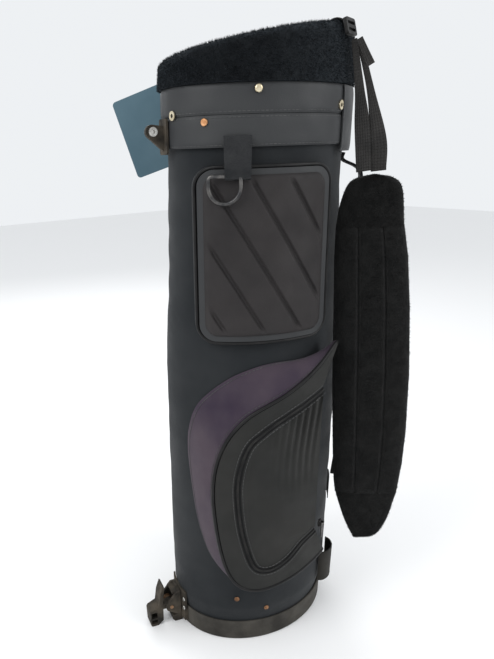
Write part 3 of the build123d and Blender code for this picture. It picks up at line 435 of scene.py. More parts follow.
def ripple(u, v, seed, waves=7, spread=1.0):
    """Soft folds between 0 and 1: a sum of sine waves in seeded directions."""
    rng = np.random.default_rng(seed)
    total = 0.0
    for _ in range(waves):
        fu, fv, phase = rng.normal(0, spread), rng.normal(0, spread), rng.uniform(0, FULL)
        total = total + np.sin(fu * u + fv * v + phase)
    return 0.5 + 0.5 * total / np.sqrt(waves) / 1.6


print("mid-height point in front of the pockets", on_pocket(0.0, 0.3, 0.026))

# %% [markdown]
# ## Mesh builders
# Every soft piece is a closed skin: an outer grid of points and an inner one, joined at their borders.
# A grid that wraps is joined to itself, so it has no open seam. A skin is turned inside out if its
# signed volume is negative, which keeps all faces outwards.

# %% Closed skins and swept tubes
MM = 0.001


def mm(*values):
    """Millimetres to metres."""
    return np.array(values, float) * MM


def signed_volume(points, quads):
    """Six times the volume inside a closed quad mesh, by the divergence theorem on its triangles."""
    a, b, c, d = (points[quads[:, k]] for k in range(4))
    return (np.cross(b, c) * a).sum() + (np.cross(c, d) * a).sum()


def make_piece(name, points, faces, uv, look, body, sharp=0.9):
    """A mesh object from points, faces and one UV pair per face corner, dressed and riding on a body."""
    mesh = bpy.data.meshes.new(name)
    mesh.from_pydata(points.tolist(), [], [list(f) for f in faces])
    layer = mesh.uv_layers.new(name="metres")
    if uv is not None:
        layer.data.foreach_set("uv", np.asarray(uv, np.float32).ravel())
    mesh.polygons.foreach_set("use_smooth", np.ones(len(mesh.polygons), bool))
    mesh.set_sharp_from_angle(angle=sharp)
    mesh.update()
    piece = bpy.data.objects.new(name, mesh)
    bpy.context.scene.collection.objects.link(piece)
    dress(piece, look)
    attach(piece, body)
    return piece


def skin(name, outer, inner, look, body, wrap=False):
    """A closed skin between two grids of (rows, columns, 3); wrap joins the last column to the first."""
    loop = np.concatenate([outer, inner[::-1]], 0)
    rows, columns = loop.shape[:2]
    points = loop.reshape(-1, 3)
    number = np.arange(rows * columns).reshape(rows, columns)
    last = columns if wrap else columns - 1
    i, j = (v.ravel() for v in np.meshgrid(np.arange(rows), np.arange(last), indexing="ij"))
    down, right = (i + 1) % rows, (j + 1) % columns
    quads = np.stack([number[i, j], number[i, right], number[down, right], number[down, j]], -1)
    middle = loop[outer.shape[0] // 2]
    steps = np.linalg.norm(np.diff(np.concatenate([middle, middle[:1]]), axis=0), axis=-1)
    along = np.concatenate([[0], np.cumsum(steps)])
    spine = np.concatenate([loop[:, columns // 2], loop[:1, columns // 2]])
    across = np.concatenate([[0], np.cumsum(np.linalg.norm(np.diff(spine, axis=0), axis=-1))])
    corners = [(i, j), (i, j + 1), (i + 1, j + 1), (i + 1, j)]
    uv = np.stack([np.stack([along[c], across[r]], -1) for r, c in corners], 1)
    if not wrap:
        r = np.arange(outer.shape[0] - 1)
        pairs = []
        for column, order in ((0, 1), (columns - 1, -1)):
            cap = [
                number[r, column], number[r + 1, column], number[rows - 2 - r, column],
                number[rows - 1 - r, column]
            ]
            pairs.append(np.stack(cap[::order], -1))
        quads = np.concatenate([quads, *pairs])
        uv = np.concatenate([uv, np.zeros((2 * len(r), 4, 2))])
    if signed_volume(points, quads) < 0:
        quads, uv = quads[:, ::-1], uv[:, ::-1]
    return make_piece(name, points, quads.tolist(), uv, look, body)


def torus(name, grid, look, body):
    """A closed skin whose rows are already closed profiles, such as the collar."""
    half = grid.shape[0] // 2
    return skin(name, grid[:half], grid[half:][::-1], look, body, wrap=True)


def smooth_path(points, count, closed=False):
    """A Catmull-Rom curve through the points, sampled evenly along its length."""
    p = np.asarray(points, float)
    if closed:
        p = np.concatenate([p[-1:], p, p[:2]])
    else:
        p = np.concatenate([2 * p[:1] - p[1:2], p, 2 * p[-1:] - p[-2:-1]])
    t = np.linspace(0, 1, 24, endpoint=False)[:, None]
    parts = []
    for a, b, c, d in zip(p[:-3], p[1:-2], p[2:-1], p[3:]):
        parts.append(
            0.5 * (
                2 * b + (c - a) * t + (
                    2 * a - 5 * b + 4 * c - d
                ) * t**2 + (3 * b - a - 3 * c + d) * t**3
            )
        )
    fine = np.concatenate([*parts, p[-2:-1]])
    length = np.concatenate([[0], np.cumsum(np.linalg.norm(np.diff(fine, axis=0), axis=-1))])
    at = np.linspace(0, length[-1], count, endpoint=not closed)
    return np.stack([np.interp(at, length, fine[:, k]) for k in range(p.shape[1])], -1)


def path_frames(path, up):
    """Unit tangents, and the side and normal directions square to them; up is near the normal."""
    tangent = np.gradient(path, axis=0)
    tangent = tangent / np.linalg.norm(tangent, axis=-1, keepdims=True)
    side = np.cross(tangent, np.broadcast_to(up, path.shape))
    side = side / np.linalg.norm(side, axis=-1, keepdims=True)
    return tangent, side, np.cross(side, tangent)


def tube(name, path, up, radius, look, body, sides=10):
    """A bead with rounded ends: circles of the radius along the path, drawn in to nothing at both ends."""
    _, side, normal = path_frames(path, up)
    turn = np.arange(sides) / sides * FULL
    ends = np.minimum(np.arange(len(path)), np.arange(len(path))[::-1])
    size = radius * np.clip(np.sqrt(np.clip((ends + 0.15) / 2.0, 0, 1)), 0.02, 1)[:, None, None]
    ring = np.cos(turn)[None, :, None] * side[:, None] + np.sin(turn)[None, :, None] * normal[:, None]
    grid = (path[:, None] + size * ring).transpose(1, 0, 2)
    half = sides // 2
    return skin(name, grid[:half], grid[half:][::-1], look, body)


def strap(name, path, face, width, thick, look, body, columns=10):
    """Flat webbing: a strip that is square to face, with edges slightly thinner than the middle."""
    _, side, normal = path_frames(path, face)
    s = np.linspace(-1, 1, columns)
    width = np.broadcast_to(width, len(path))[None, :, None]
    rise = (0.5 * thick * (1 - 0.35 * s**6))[:, None, None]
    middle = path[None] + 0.5 * width * s[:, None, None] * side[None]
    return skin(name, middle + rise * normal[None], middle - rise * normal[None], look, body)


def scatter(name, places, along, normal, size, look, body):
    """Many small boxes with pinched ends in one mesh, such as stitches or zip teeth; size is half sizes."""
    side = np.cross(normal, along)
    box = np.array([(x, y, z) for x in (-1, 1) for y in (-1, 1) for z in (-1, 1)], float)
    box[:, 1:] *= 0.8
    axes = (along, side, normal)
    points = places[:, None] + sum(box[None, :, k, None] * size[k] * axes[k][:, None] for k in range(3))
    quads = np.array(
        [(0, 1, 3, 2), (4, 6, 7, 5), (0, 4, 5, 1), (2, 3, 7, 6), (0, 2, 6, 4), (1, 5, 7, 3)]
    )
    if signed_volume(points[0], quads) < 0:
        quads = quads[:, ::-1]
    faces = (quads[None] + 8 * np.arange(len(places))[:, None, None]).reshape(-1, 4)
    return make_piece(name, points.reshape(-1, 3), faces.tolist(), None, look, body, sharp=0.6)


def stitch_row(
    name, path, normal, body, look="thread", pitch=0.0052, size=(0.0017, 0.00045, 0.0004)
):
    """Stitches along a path that lies on a cloth; normal is the cloth's, one per path point."""
    length = np.concatenate([[0], np.cumsum(np.linalg.norm(np.diff(path, axis=0), axis=-1))])
    at = np.arange(pitch / 2, length[-1], pitch)
    place = np.stack([np.interp(at, length, path[:, k]) for k in range(3)], -1)
    n = np.stack([np.interp(at, length, normal[:, k]) for k in range(3)], -1)
    n = n / np.linalg.norm(n, axis=-1, keepdims=True)
    along = np.gradient(place, axis=0)
    along = along - (along * n).sum(-1, keepdims=True) * n
    along = along / np.linalg.norm(along, axis=-1, keepdims=True)
    return scatter(name, place + 0.0002 * n, along, n, size, look, body)


SPIKE_RADIUS, SPIKE_SUNK = 0.00042, 0.0006
PILE_DROOP = (0, 0, -0.5)


def pile(name, grid, wrap, count, length, look, body, seed, sweep=(0, 0, 0)):
    """Short fur: closed three-sided spikes rooted at random places of a grid, leaning by sweep."""
    rng = np.random.default_rng(seed)
    rows, columns = grid.shape[:2]
    r = rng.uniform(0, rows - 1.001, count)
    c = rng.uniform(0, columns - (0 if wrap else 1) - 0.001, count)
    i, j = r.astype(int), c.astype(int)
    a, b, d = grid[i, j], grid[i, (j + 1) % columns], grid[i + 1, j]
    root = a + (c - j)[:, None] * (b - a) + (r - i)[:, None] * (d - a)
    n = np.cross(b - a, d - a)
    n = n / np.maximum(np.linalg.norm(n, axis=-1, keepdims=True), 1e-9)
    if ((root - root.mean(0)) * n).sum() < 0:
        n = -n
    lean = n + rng.normal(0, 0.45, (count, 3)) + np.asarray(sweep)
    lean = lean / np.linalg.norm(lean, axis=-1, keepdims=True)
    first = np.cross(lean, rng.normal(0, 1, (count, 3)))
    first = first / np.linalg.norm(first, axis=-1, keepdims=True)
    second = np.cross(lean, first)
    foot = root - SPIKE_SUNK * n
    thirds = np.arange(3) * FULL / 3
    corners = [foot + SPIKE_RADIUS * (np.cos(t) * first + np.sin(t) * second) for t in thirds]
    tip = root + lean * (length * rng.uniform(0.6, 1.0, count))[:, None]
    points = np.stack([*corners, tip], 1).reshape(-1, 3)
    faces = np.array([(0, 2, 1), (0, 1, 3), (1, 2, 3), (2, 0, 3)])
    faces = (faces[None] + 4 * np.arange(count)[:, None, None]).reshape(-1, 3)
    return make_piece(name, points, faces.tolist(), None, look, body, sharp=3.1)


# %% [markdown]
# ## Body and cuff
# The body is one coated cloth tube. It could be simulated, but a held tube shows only shallow level
# creases, so seeded waves that only go inwards are quicker and keep it inside its own collision shape.

# %% Body, cuffs and spine cover
AROUND = np.linspace(0, FULL, 210, endpoint=False)[None, :]
BODY_FOOT, BODY_HEAD = 0.0085, 0.770
heights = np.linspace(BODY_FOOT, BODY_HEAD, 196)[:, None]
creases = ripple(3 * np.cos(AROUND) + 2 * np.sin(2 * AROUND), 60 * heights, 4, 9, 1.3)
broad = ripple(2 * np.sin(AROUND), 16 * heights + np.cos(AROUND), 9, 6, 1.0)
calm = np.clip((heights - 0.06) / 0.06, 0, 1) * np.clip((0.715 - heights) / 0.05, 0, 1)
dip = calm * (0.0014 * np.clip(creases, 0, 1) ** 2 + 0.0012 * np.clip(broad, 0, 1))
body_grid = body_wall(AROUND, heights, -dip)
body = skin(
    "body_cloth_tube", body_grid, body_wall(AROUND, heights, -dip - 0.0015), "body_cloth", "bag",
    True
)
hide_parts("body_shell")


def cuff_band(name, node_name, low, high, seed):
    """One band of the vinyl cuff: swollen between its two sewn edges, with shallow upright dents."""
    z = np.linspace(low, high, 26)[:, None]
    s = (z - low) / (high - low)
    tuck = 0.0016 * (np.abs(2 * s - 1) ** 6)
    dents = 0.0009 * np.clip(
        ripple(9 * np.cos(AROUND) + 7 * np.sin(AROUND), 30 * z, seed, 8, 1.4), 0, 1
    )
    out = -tuck - dents
    made = skin(
        name, oval(AROUND, *CUFF, out, z), oval(AROUND, *CUFF, out - 0.0022, z), "cuff_vinyl",
        "bag", True
    )
    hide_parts(node_name)
    return made


cuff_band("cuff_band_lower", "cuff_lower", 0.7142, 0.7478, 21)
cuff_band("cuff_band_upper", "cuff_upper", 0.7482, 0.7798, 22)
for label, height in (("low", 0.7165), ("seam_low", 0.7452), ("seam_high", 0.7510)):
    ring = oval(np.linspace(0, FULL, 400), *CUFF, 0.0, height)
    stitch_row(f"cuff_stitches_{label}", ring - 0.0012 * oval_normal(np.linspace(0, FULL, 400)),
               oval_normal(np.linspace(0, FULL, 400)), "bag")

COVER_FROM, COVER_TO = np.radians([-62.8, -0.8])
polar = np.linspace(COVER_FROM, COVER_TO, 70)
cover_angle = np.arctan2(CUFF[0] * np.sin(polar), CUFF[1] * np.cos(polar))[None, :]
COVER_LOW, COVER_HIGH = 0.7062, 0.7788
z = np.linspace(COVER_LOW, COVER_HIGH, 28)[:, None]
edge = 1 - np.abs(2 * (z - COVER_LOW) / (COVER_HIGH - COVER_LOW) - 1) ** 8
swell = 0.0010 + 0.0015 * edge - 0.0005 * ripple(8 * cover_angle, 40 * z, 31)
cover = skin(
    "spine_cover_vinyl", oval(cover_angle, *CUFF, swell, z), oval(cover_angle, *CUFF, 0.0003, z),
    "cuff_vinyl", "bag"
)
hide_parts("spine_cover")
print("body, cuffs and cover built")

# %% [markdown]
# ## Fur collar
# A padded roll of plush. Its rim slopes, so the top height depends on the angle. The skin is a closed
# profile carried round the oval, and short leaning spikes give the pile its soft outline.

# %% Collar roll and pile
FUR = np.array([0.132, 0.106])
FUR_DEPTH, FUR_ROUND, FUR_BASE, FUR_TAPER = 0.027, 0.011, 0.7804, 0.0091
RIM_MIDDLE, RIM_SLOPE = 0.829, 0.17
TAPER_HEIGHT, TUCK_LOW, TUCK_HIGH, TUCK_DEPTH = 0.109, 0.7690, 0.7800, 0.0240
around = np.linspace(0, FULL, 240, endpoint=False)
rim = RIM_MIDDLE + RIM_SLOPE * (oval(around, *FUR, -0.013, 0.0) @ VIEW_RIGHT)


def collar_profile(rim_height, soft):
    """The roll's closed profile as (inward distance, height), for one rim height per column."""
    s = np.linspace(0, 1, 24)[:, None]
    shoulder = rim_height - FUR_ROUND
    wall = FUR_BASE + s * (shoulder - FUR_BASE)
    lean = FUR_TAPER * (wall - FUR_BASE) / TAPER_HEIGHT
    t = np.linspace(0, np.pi, 20)[1:-1, None]
    start = lean[-1:]
    over_in = start + (FUR_DEPTH - start) * (0.5 - 0.5 * np.cos(t))
    over_up = shoulder + FUR_ROUND * np.sin(t) ** 0.8
    down = shoulder + s * (TUCK_LOW - shoulder)
    inward = np.concatenate(
        [
            lean + soft, over_in + 0 * over_up, FUR_DEPTH + 0 * down, [[TUCK_DEPTH]] + 0 * down[:1],
            [[TUCK_DEPTH]] + 0 * down[:1]
        ]
    )
    height = np.concatenate([wall, over_up, down, TUCK_LOW + 0 * down[:1], TUCK_HIGH + 0 * down[:1]])
    return inward, height


dents = 0.0016 * np.clip(ripple(5 * np.cos(around), 5 * np.sin(around), 41, 9, 1.2), 0, 1)[None, :]
inward, height = collar_profile(rim[None, :], dents)
collar_grid = oval(around[None, :], *FUR, -inward, height)
collar = torus("fur_roll", collar_grid, "fur", "bag")
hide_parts("fur_collar")
pile("collar_pile", collar_grid[:60], True, 40000, 0.0036, "fur", "bag", 42, PILE_DROOP)
print("collar built, rim from", rim.min(), "to", rim.max())

# %% [markdown]
# ## Ball pocket
# A box pocket on the upper front: a cloth wall, a bead of piping, a vinyl face, and a moulded foam
# panel with leaning grooves pressed into it.

# %% Ball pocket
BALL = mm(-95, 76, 486, 696)


def rounded_box(grow, corner, count):
    """A rounded rectangle as (across, height), anticlockwise from the middle of its foot, evenly spaced."""
    left, right, low, high = BALL + grow * np.array([-1, 1, -1, 1])
    pieces = [[(left + right) / 2, low]]
    for cx, cz, turn in ((right - corner, low + corner, -0.25), (right - corner, high - corner, 0),
                         (left + corner, high - corner, 0.25), (left + corner, low + corner, 0.5)):
        t = (turn + np.linspace(0, 0.25, 9)) * FULL
        pieces += np.stack([cx + corner * np.cos(t), cz + corner * np.sin(t)], -1).tolist()
    p = np.array(pieces + pieces[:1])
    length = np.concatenate([[0], np.cumsum(np.linalg.norm(np.diff(p, axis=0), axis=-1))])
    at = np.linspace(0, length[-1], count, endpoint=False)
    return np.stack([np.interp(at, length, p[:, k]) for k in range(2)], -1)


edge_out, edge_in = rounded_box(-0.0004, 0.024, 300), rounded_box(-0.0022, 0.022, 300)
depth = np.linspace(0.0004, 0.0112, 12)[:, None]
pucker = 0.0006 * np.sin(
    np.arange(300) / 300 * FULL * 46
)[None, :] * np.sin(np.linspace(0, np.pi, 12))[:, None]
pull = (edge_in - edge_out)[None] * (0.35 + pucker / 0.0018 * 0.35)[..., None]
outer = edge_out[None] + pull
wall = skin("ball_pocket_cloth", on_pocket(outer[..., 0], outer[..., 1], depth),
            on_pocket(edge_in[None, :, 0], edge_in[None, :, 1], depth),
            "body_cloth", "bag", True)
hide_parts("ball_pocket_wall")


def closed_bead(name, loop, out, radius, look):
    """Piping that closes on itself: a small circle carried round a loop laid out on the pocket."""
    path = on_pocket(loop[:, 0], loop[:, 1], out)
    normal = pocket_normal(loop[:, 0], loop[:, 1], out)
    along = np.roll(path, -1, 0) - np.roll(path, 1, 0)
    side = np.cross(along, normal)
    side = side / np.linalg.norm(side, axis=-1, keepdims=True)
    t = (np.arange(12) / 12 * FULL)[:, None, None]
    return torus(
        name, path[None] + radius * (np.cos(t) * side[None] + np.sin(t) * normal[None]), look,
        "bag"
    )


bead = closed_bead(
    "ball_pocket_bead", rounded_box(-0.0023, 0.0225, 320), 0.0118, 0.0021, "piping"
)
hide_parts("ball_pocket_piping")

PANEL_MARGIN, PANEL_CORNER, PANEL_BACK, PANEL_FACE = 0.011, 0.016, 0.0127, 0.0179
GROOVE_PITCH, GROOVE_WIDTH, GROOVE_DEPTH, GROOVE_LEAN = 0.040, 0.0052, 0.0034, np.radians(58)
left, right, low, high = BALL + PANEL_MARGIN * np.array([1, -1, 1, -1])
rows, columns = 190, 170
v = np.linspace(low, high, rows)[:, None]
near_edge = np.clip(PANEL_CORNER - np.minimum(v - low, high - v), 0, PANEL_CORNER)
cut = PANEL_CORNER - np.sqrt(np.maximum(PANEL_CORNER**2 - near_edge**2, 0))
s = np.linspace(-1, 1, columns)[None, :]
u = (left + right) / 2 + s * ((right - left) / 2 - cut)
across_grooves = (
    u - (left + right) / 2
) * np.sin(GROOVE_LEAN) + (v - (low + high) / 2) * np.cos(GROOVE_LEAN)
phase = across_grooves / GROOVE_PITCH - 0.75
gap_to_line = np.abs(phase - np.round(phase)) * GROOVE_PITCH
groove = GROOVE_DEPTH * np.exp(-((gap_to_line / (0.5 * GROOVE_WIDTH)) ** 4))
rim_fall = np.minimum(np.minimum((1 - np.abs(s)) * (right - left) / 2, v - low), high - v)
groove = groove * np.clip(rim_fall / 0.008 - 0.4, 0, 1)
crown = 0.0044 * (1 - np.exp(-rim_fall / 0.0022))
face = PANEL_BACK + 0.0008 + crown - groove
panel = skin(
    "moulded_foam_panel", on_pocket(u, v, np.minimum(face, PANEL_FACE)),
    on_pocket(u, v, PANEL_BACK), "moulded_foam", "bag"
)
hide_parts("moulded_panel")
seam = rounded_box(-0.0078, 0.018, 500)
stitch_row(
    "ball_pocket_stitches", on_pocket(seam[:, 0], seam[:, 1], 0.0126),
    pocket_normal(seam[:, 0], seam[:, 1], 0.0126), "bag"
)
print("ball pocket built")

# %% [markdown]
# ## Side pocket
# A long pouch: a faded gusset that leaves the body wide and closes on the front outline, a bead there,
# a cloth border, and a lid inside the zip that sags in upright folds.

# %% Side pocket
SIDE_DEPTH, GUSSET_BOW, CLOTH_THICK = 0.026, 0.025, 0.0015
FRONT = np.array(
    [
        (92, 150), (30, 127), (-20, 118), (-52, 137), (-70, 190), (-79, 280), (-68, 345),
        (-36, 392), (20, 423), (58, 447), (92, 476)
    ]
) * MM
ROOT = np.array(
    [
        (92, 114), (-20, 128), (-67, 148), (-83, 167), (-96, 214), (-103, 270), (-107, 329),
        (-103, 370), (-91, 402), (-64, 431), (-33, 448), (7, 456), (75, 452)
    ]
) * MM
ZIP = np.array(
    [
        (72, 196), (50, 184), (26, 162), (0, 151), (-22, 160), (-36, 200), (-44, 245), (-46, 300),
        (-34, 348), (-12, 371), (15, 388), (54, 407), (72, 416)
    ]
) * MM
COUNT = 260
front_line, root_line = smooth_path(FRONT, COUNT), smooth_path(ROOT, COUNT)
share = np.linspace(0, 1, 26)[:, None, None]
bow = GUSSET_BOW * np.sin(np.pi * share)
flat = root_line[None] * (1 - share) + front_line[None] * share
middle = np.array([0.0, 0.29])
flat = flat + (flat - middle) * bow
folds = ripple(np.linspace(0, 30, COUNT)[None, :], share[..., 0] * 2, 51, 8, 1.6)
sink = 0.0022 * np.clip(folds, 0, 1) * np.sin(np.pi * share[..., 0])
out = np.clip(0.0006 + (SIDE_DEPTH - 0.0024) * share[..., 0] - sink, 0.0004, None)
inner = flat + (middle - flat) / np.linalg.norm(middle - flat, axis=-1, keepdims=True) * CLOTH_THICK
gusset = skin(
    "side_pocket_side", on_pocket(flat[..., 0], flat[..., 1], out),
    on_pocket(inner[..., 0], inner[..., 1], out), "purple_cloth", "bag"
)
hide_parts("side_pocket_gusset")
for label, row in (("root", 2), ("front", 23)):
    line = flat[row]
    path = on_pocket(line[:, 0], line[:, 1], out[row] + 0.0004)
    stitch_row(
        f"gusset_stitches_{label}", path, pocket_normal(line[:, 0], line[:, 1], out[row]), "bag",
    )

bead_path = on_pocket(front_line[:, 0], front_line[:, 1], SIDE_DEPTH - 0.0012)
bead = tube(
    "side_pocket_bead", bead_path,
    pocket_normal(front_line[:, 0], front_line[:, 1], SIDE_DEPTH)[COUNT // 2], 0.0023, "piping",
    "bag"
)
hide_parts("side_pocket_piping")


def inset(line, amount):
    """The outline moved inwards by an amount, along its own normals in the pocket's layout."""
    along = np.gradient(line, axis=0)
    n = np.stack([along[:, 1], -along[:, 0]], -1)
    n = n / np.linalg.norm(n, axis=-1, keepdims=True)
    if ((middle - line) * n).sum() < 0:
        n = -n
    return line + amount * n


zip_line = smooth_path(ZIP, COUNT)
border_out, border_in = inset(front_line, 0.0028), inset(zip_line, -0.0047)
flat = border_out[None] * (1 - share) + border_in[None] * share
sink = 0.0011 * np.clip(ripple(np.linspace(0, 26, COUNT)[None, :], share[..., 0] * 3, 61, 7, 1.3), 0, 1)
sink = sink * np.sin(np.pi * share[..., 0])
border = skin(
    "side_pocket_edge", on_pocket(flat[..., 0], flat[..., 1], SIDE_DEPTH - 0.0002 - sink),
    on_pocket(flat[..., 0], flat[..., 1], SIDE_DEPTH - 0.0018 - sink), "pocket_cloth", "bag",
)
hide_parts("side_pocket_border")

zip_lip = inset(zip_line, 0.0046)
order = np.argsort(np.abs(zip_lip[:, 1] - zip_lip[:, 1].min()))[0]
levels = np.linspace(0.153, 0.4105, 130)
lower_run = zip_lip[: order + 1]
rise_order = np.argsort(zip_lip[order:][:, 1])
left_x = np.interp(levels, zip_lip[order:][rise_order, 1], zip_lip[order:][rise_order, 0])
fall = lower_run[::-1]
right_x = np.where(levels > fall[:, 1].max(), 0.0715, np.interp(levels, fall[:, 1], fall[:, 0]))
right_x = np.maximum(right_x, left_x + 0.0004)
s = np.linspace(0, 1, 120)[None, :]
u = left_x[:, None] * (1 - s) + right_x[:, None] * s
v = levels[:, None] + 0 * s
drape = np.exp(-(((u - 0.045) / 0.03) ** 2)) * np.clip((v - 0.27) / 0.10, 0, 1)
folds = 0.5 + 0.5 * np.sin(u * 620 + 3 * np.sin(v * 26))
lid_edge = np.clip(np.minimum(np.minimum(s, 1 - s) * 14, 1), 0, 1)
sink = lid_edge * (0.0040 * drape * folds + 0.0022 * np.clip(ripple(40 * u, 14 * v, 71, 7, 1.2), 0, 1))
lid = skin(
    "side_pocket_lid", on_pocket(u, v, SIDE_DEPTH - 0.0003 - sink),
    on_pocket(u, v, SIDE_DEPTH - 0.0019 - sink), "pocket_cloth", "bag"
)
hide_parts("side_pocket_flap")

offsets = np.linspace(-0.0044, 0.0044, 8)
tape_flat = np.stack([inset(zip_line, o) for o in offsets])
tape = skin(
    "zip_tape_cloth", on_pocket(tape_flat[..., 0], tape_flat[..., 1], SIDE_DEPTH - 0.0008),
    on_pocket(tape_flat[..., 0], tape_flat[..., 1], SIDE_DEPTH - 0.0017), "zip_cloth", "bag",
)
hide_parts("zip_tape")
dense = smooth_path(ZIP, 900)
path = on_pocket(dense[:, 0], dense[:, 1], SIDE_DEPTH - 0.0008)
normal = pocket_normal(dense[:, 0], dense[:, 1], SIDE_DEPTH)
stitch_row(
    "zip_teeth_row", path, normal, "bag", "zip_teeth", 0.0016,
    (0.00045, 0.0019, 0.0006)
)
for label, offset in (("inner", 0.0066), ("outer", -0.0066)):
    line = inset(dense, offset)
    path = on_pocket(line[:, 0], line[:, 1], SIDE_DEPTH - 0.0003)
    stitch_row(
        f"zip_stitches_{label}", path, pocket_normal(line[:, 0], line[:, 1], SIDE_DEPTH), "bag",
    )
print("side pocket built")

# %% [markdown]
# ## Small sewn pieces
# Webbing is thick and flat, so each strap is modelled directly along its path rather than simulated.

# %% Sleeve, tab and handle
def cross_path(polar_degrees, points, half_long=CUFF[0], half_short=CUFF[1]):
    """A path in an upright plane square to the oval at a polar angle; points are (out, height) in mm."""
    polar = np.radians(polar_degrees)
    angle = np.arctan2(half_long * np.sin(polar), half_short * np.cos(polar))
    base, n = oval(angle, half_long, half_short, 0.0, 0.0), oval_normal(angle, half_long, half_short)
    p = smooth_path(np.array(points, float) * MM, 90)
    return base + p[:, :1] * n + p[:, 1:] * UP, n, np.cross(UP, n)


SLEEVE_ANGLE = np.radians(-55.0)
sleeve_base = oval(SLEEVE_ANGLE, 0.132, 0.106, 0.0, 0.0)
sleeve_out = oval_normal(SLEEVE_ANGLE, 0.132, 0.106)
sleeve_side = np.cross(UP, sleeve_out)
t = np.linspace(-0.44, 0.44, 60)[None, :] * np.pi
z = np.linspace(0.0565, 0.1115, 30)[:, None]
slump = 0.0006 * ripple(6 * t, 60 * z, 81)
SLEEVE_HALF_WIDTH, SLEEVE_REACH = 0.0237, 0.0187


def sleeve_layer(inset_by):
    """Half an oval that stands out from the body, smaller by inset_by."""
    across = (SLEEVE_HALF_WIDTH - inset_by - slump) * np.sin(t)
    away = (SLEEVE_REACH - inset_by - slump) * np.cos(t)
    return sleeve_base + across[
        ..., None
    ] * sleeve_side + away[..., None] * sleeve_out + z[..., None] * UP


sleeve = skin(
    "umbrella_sleeve_cloth", sleeve_layer(0.0), sleeve_layer(CLOTH_THICK), "sleeve_cloth", "bag",
)
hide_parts("umbrella_sleeve")

TAB = [
    (2, 726), (4.5, 722), (12, 708), (18, 697), (20.5, 690), (20, 683), (17.5, 680.5), (15, 683),
    (15.3, 690), (12, 698), (5, 712)
]
path, n, side = cross_path(-142, TAB)
tab = strap(
    "ring_tab_tape", path, np.cross(side, path[1] - path[0]),
    np.linspace(0.0325, 0.028, 90) * 0.98, 0.0016, "hook_tape", "bag", 14
)
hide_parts("ring_tab")
HANDLE = [(-5.1, 704), (-5.1, 695), (17, 682), (20, 655), (20, 610), (0.4, 580), (-0.2, 562)]
path, n, side = cross_path(-30, HANDLE)
handle = strap("grab_handle_webbing", path, n, 0.0245, 0.0038, "dark_webbing", "bag", 12)
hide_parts("grab_handle")
print("sleeve, tab and handle built")

# %% [markdown]
# ## Shoulder strap
# The pad is a foam slab covered in plush: three channels swell between two sewn seams. Its outline is
# laid out in the upright plane in which the strap hangs.

# %% Shoulder pad and caps
PAD_LEFT = np.array(
    [(102.5, 618), (103, 580), (107, 500), (112, 400), (119, 300), (124, 246), (127, 228.5)]
) * MM
PAD_RIGHT = np.array(
    [(186.5, 618), (195, 580), (205, 510), (214, 420), (219, 330), (219, 279), (216, 228.5)]
) * MM
TOP_CAP = np.array(
    [(103, 619), (105, 640), (112, 664), (122, 674), (145, 679), (168, 674), (180, 660), (186, 619)]
) * MM
LOW_CAP = np.array(
    [(127.5, 228), (140, 190), (151, 164), (158, 152), (176, 151), (194, 158), (207, 185), (215.5, 228)]
) * MM
PAD_MIDDLE, PAD_HALF, CAP_HALF, CAP_TUCK = -0.040, 0.0105, 0.0075, 0.003
PAD_PILE_LENGTH = 0.0022


def slab(name, left, right, height, half, crown, look, node_name, seed):
    """A padded slab between a left and a right edge: half(s) thick, thin at the edges, swollen by crown."""
    s = np.linspace(-1, 1, 90)[None, :]
    u = (left + right)[:, None] / 2 + s * (right - left)[:, None] / 2
    z = height[:, None] + 0 * s
    dent = 0.0010 * ripple(60 * u, 30 * z, seed, 8, 1.1)
    rise = np.maximum(
        half * np.sqrt(np.maximum(1 - np.abs(s) ** 5, 0)) * crown(s, z) - dent * (1 - s**8),
        0.0002
    )
    outer, inner = in_view(u, PAD_MIDDLE - rise, z), in_view(u, PAD_MIDDLE + rise, z)
    made = skin(name, outer, inner, look, "strap")
    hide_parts(node_name)
    return made, outer


def channels(s, z):
    """Full thickness with two sewn seams at a third and two thirds of the width."""
    seam = np.exp(-(((np.abs(s) - 0.36) / 0.045) ** 2))
    return 1 - 0.30 * seam


pad_height = np.linspace(0.2282, 0.6184, 150)
order = np.argsort(PAD_LEFT[:, 1])
pad_left = np.interp(pad_height, PAD_LEFT[order, 1], PAD_LEFT[order, 0])
order = np.argsort(PAD_RIGHT[:, 1])
pad_right = np.interp(pad_height, PAD_RIGHT[order, 1], PAD_RIGHT[order, 0])
ends = np.clip(np.minimum(pad_height - 0.229, 0.6175 - pad_height) / 0.006, 0, 1)
pad, pad_front = slab(
    "shoulder_pad_plush", pad_left, pad_right, pad_height, PAD_HALF, lambda s,
    z: channels(s, z) * (0.72 + 0.28 * ends[:, None]), "pad_fur", "shoulder_pad", 91
)
pile("pad_pile_front", pad_front, False, 24000, PAD_PILE_LENGTH, "pad_fur", "strap", 92, PILE_DROOP)


def cap_sides(points, split, under=0.0, over=0.0):
    """Left and right edges of a cap outline, one pair per height; under and over reach into the pad."""
    left, right = smooth_path(points[:split], 60), smooth_path(points[split - 1:], 60)
    low, high = points[:, 1].min(), points[:, 1].max()
    z = np.linspace(low + 0.0003 - under, high - 0.0003 + over, 60)
    edges = []
    for run in (left, right):
        order = np.argsort(run[:, 1])
        edges.append(np.interp(z, run[order, 1], run[order, 0]))
    return edges[0], np.maximum(edges[1], edges[0] + 0.0004), z


def plain(s, z):
    """The same thickness everywhere."""
    return 1.0 + 0 * s * z


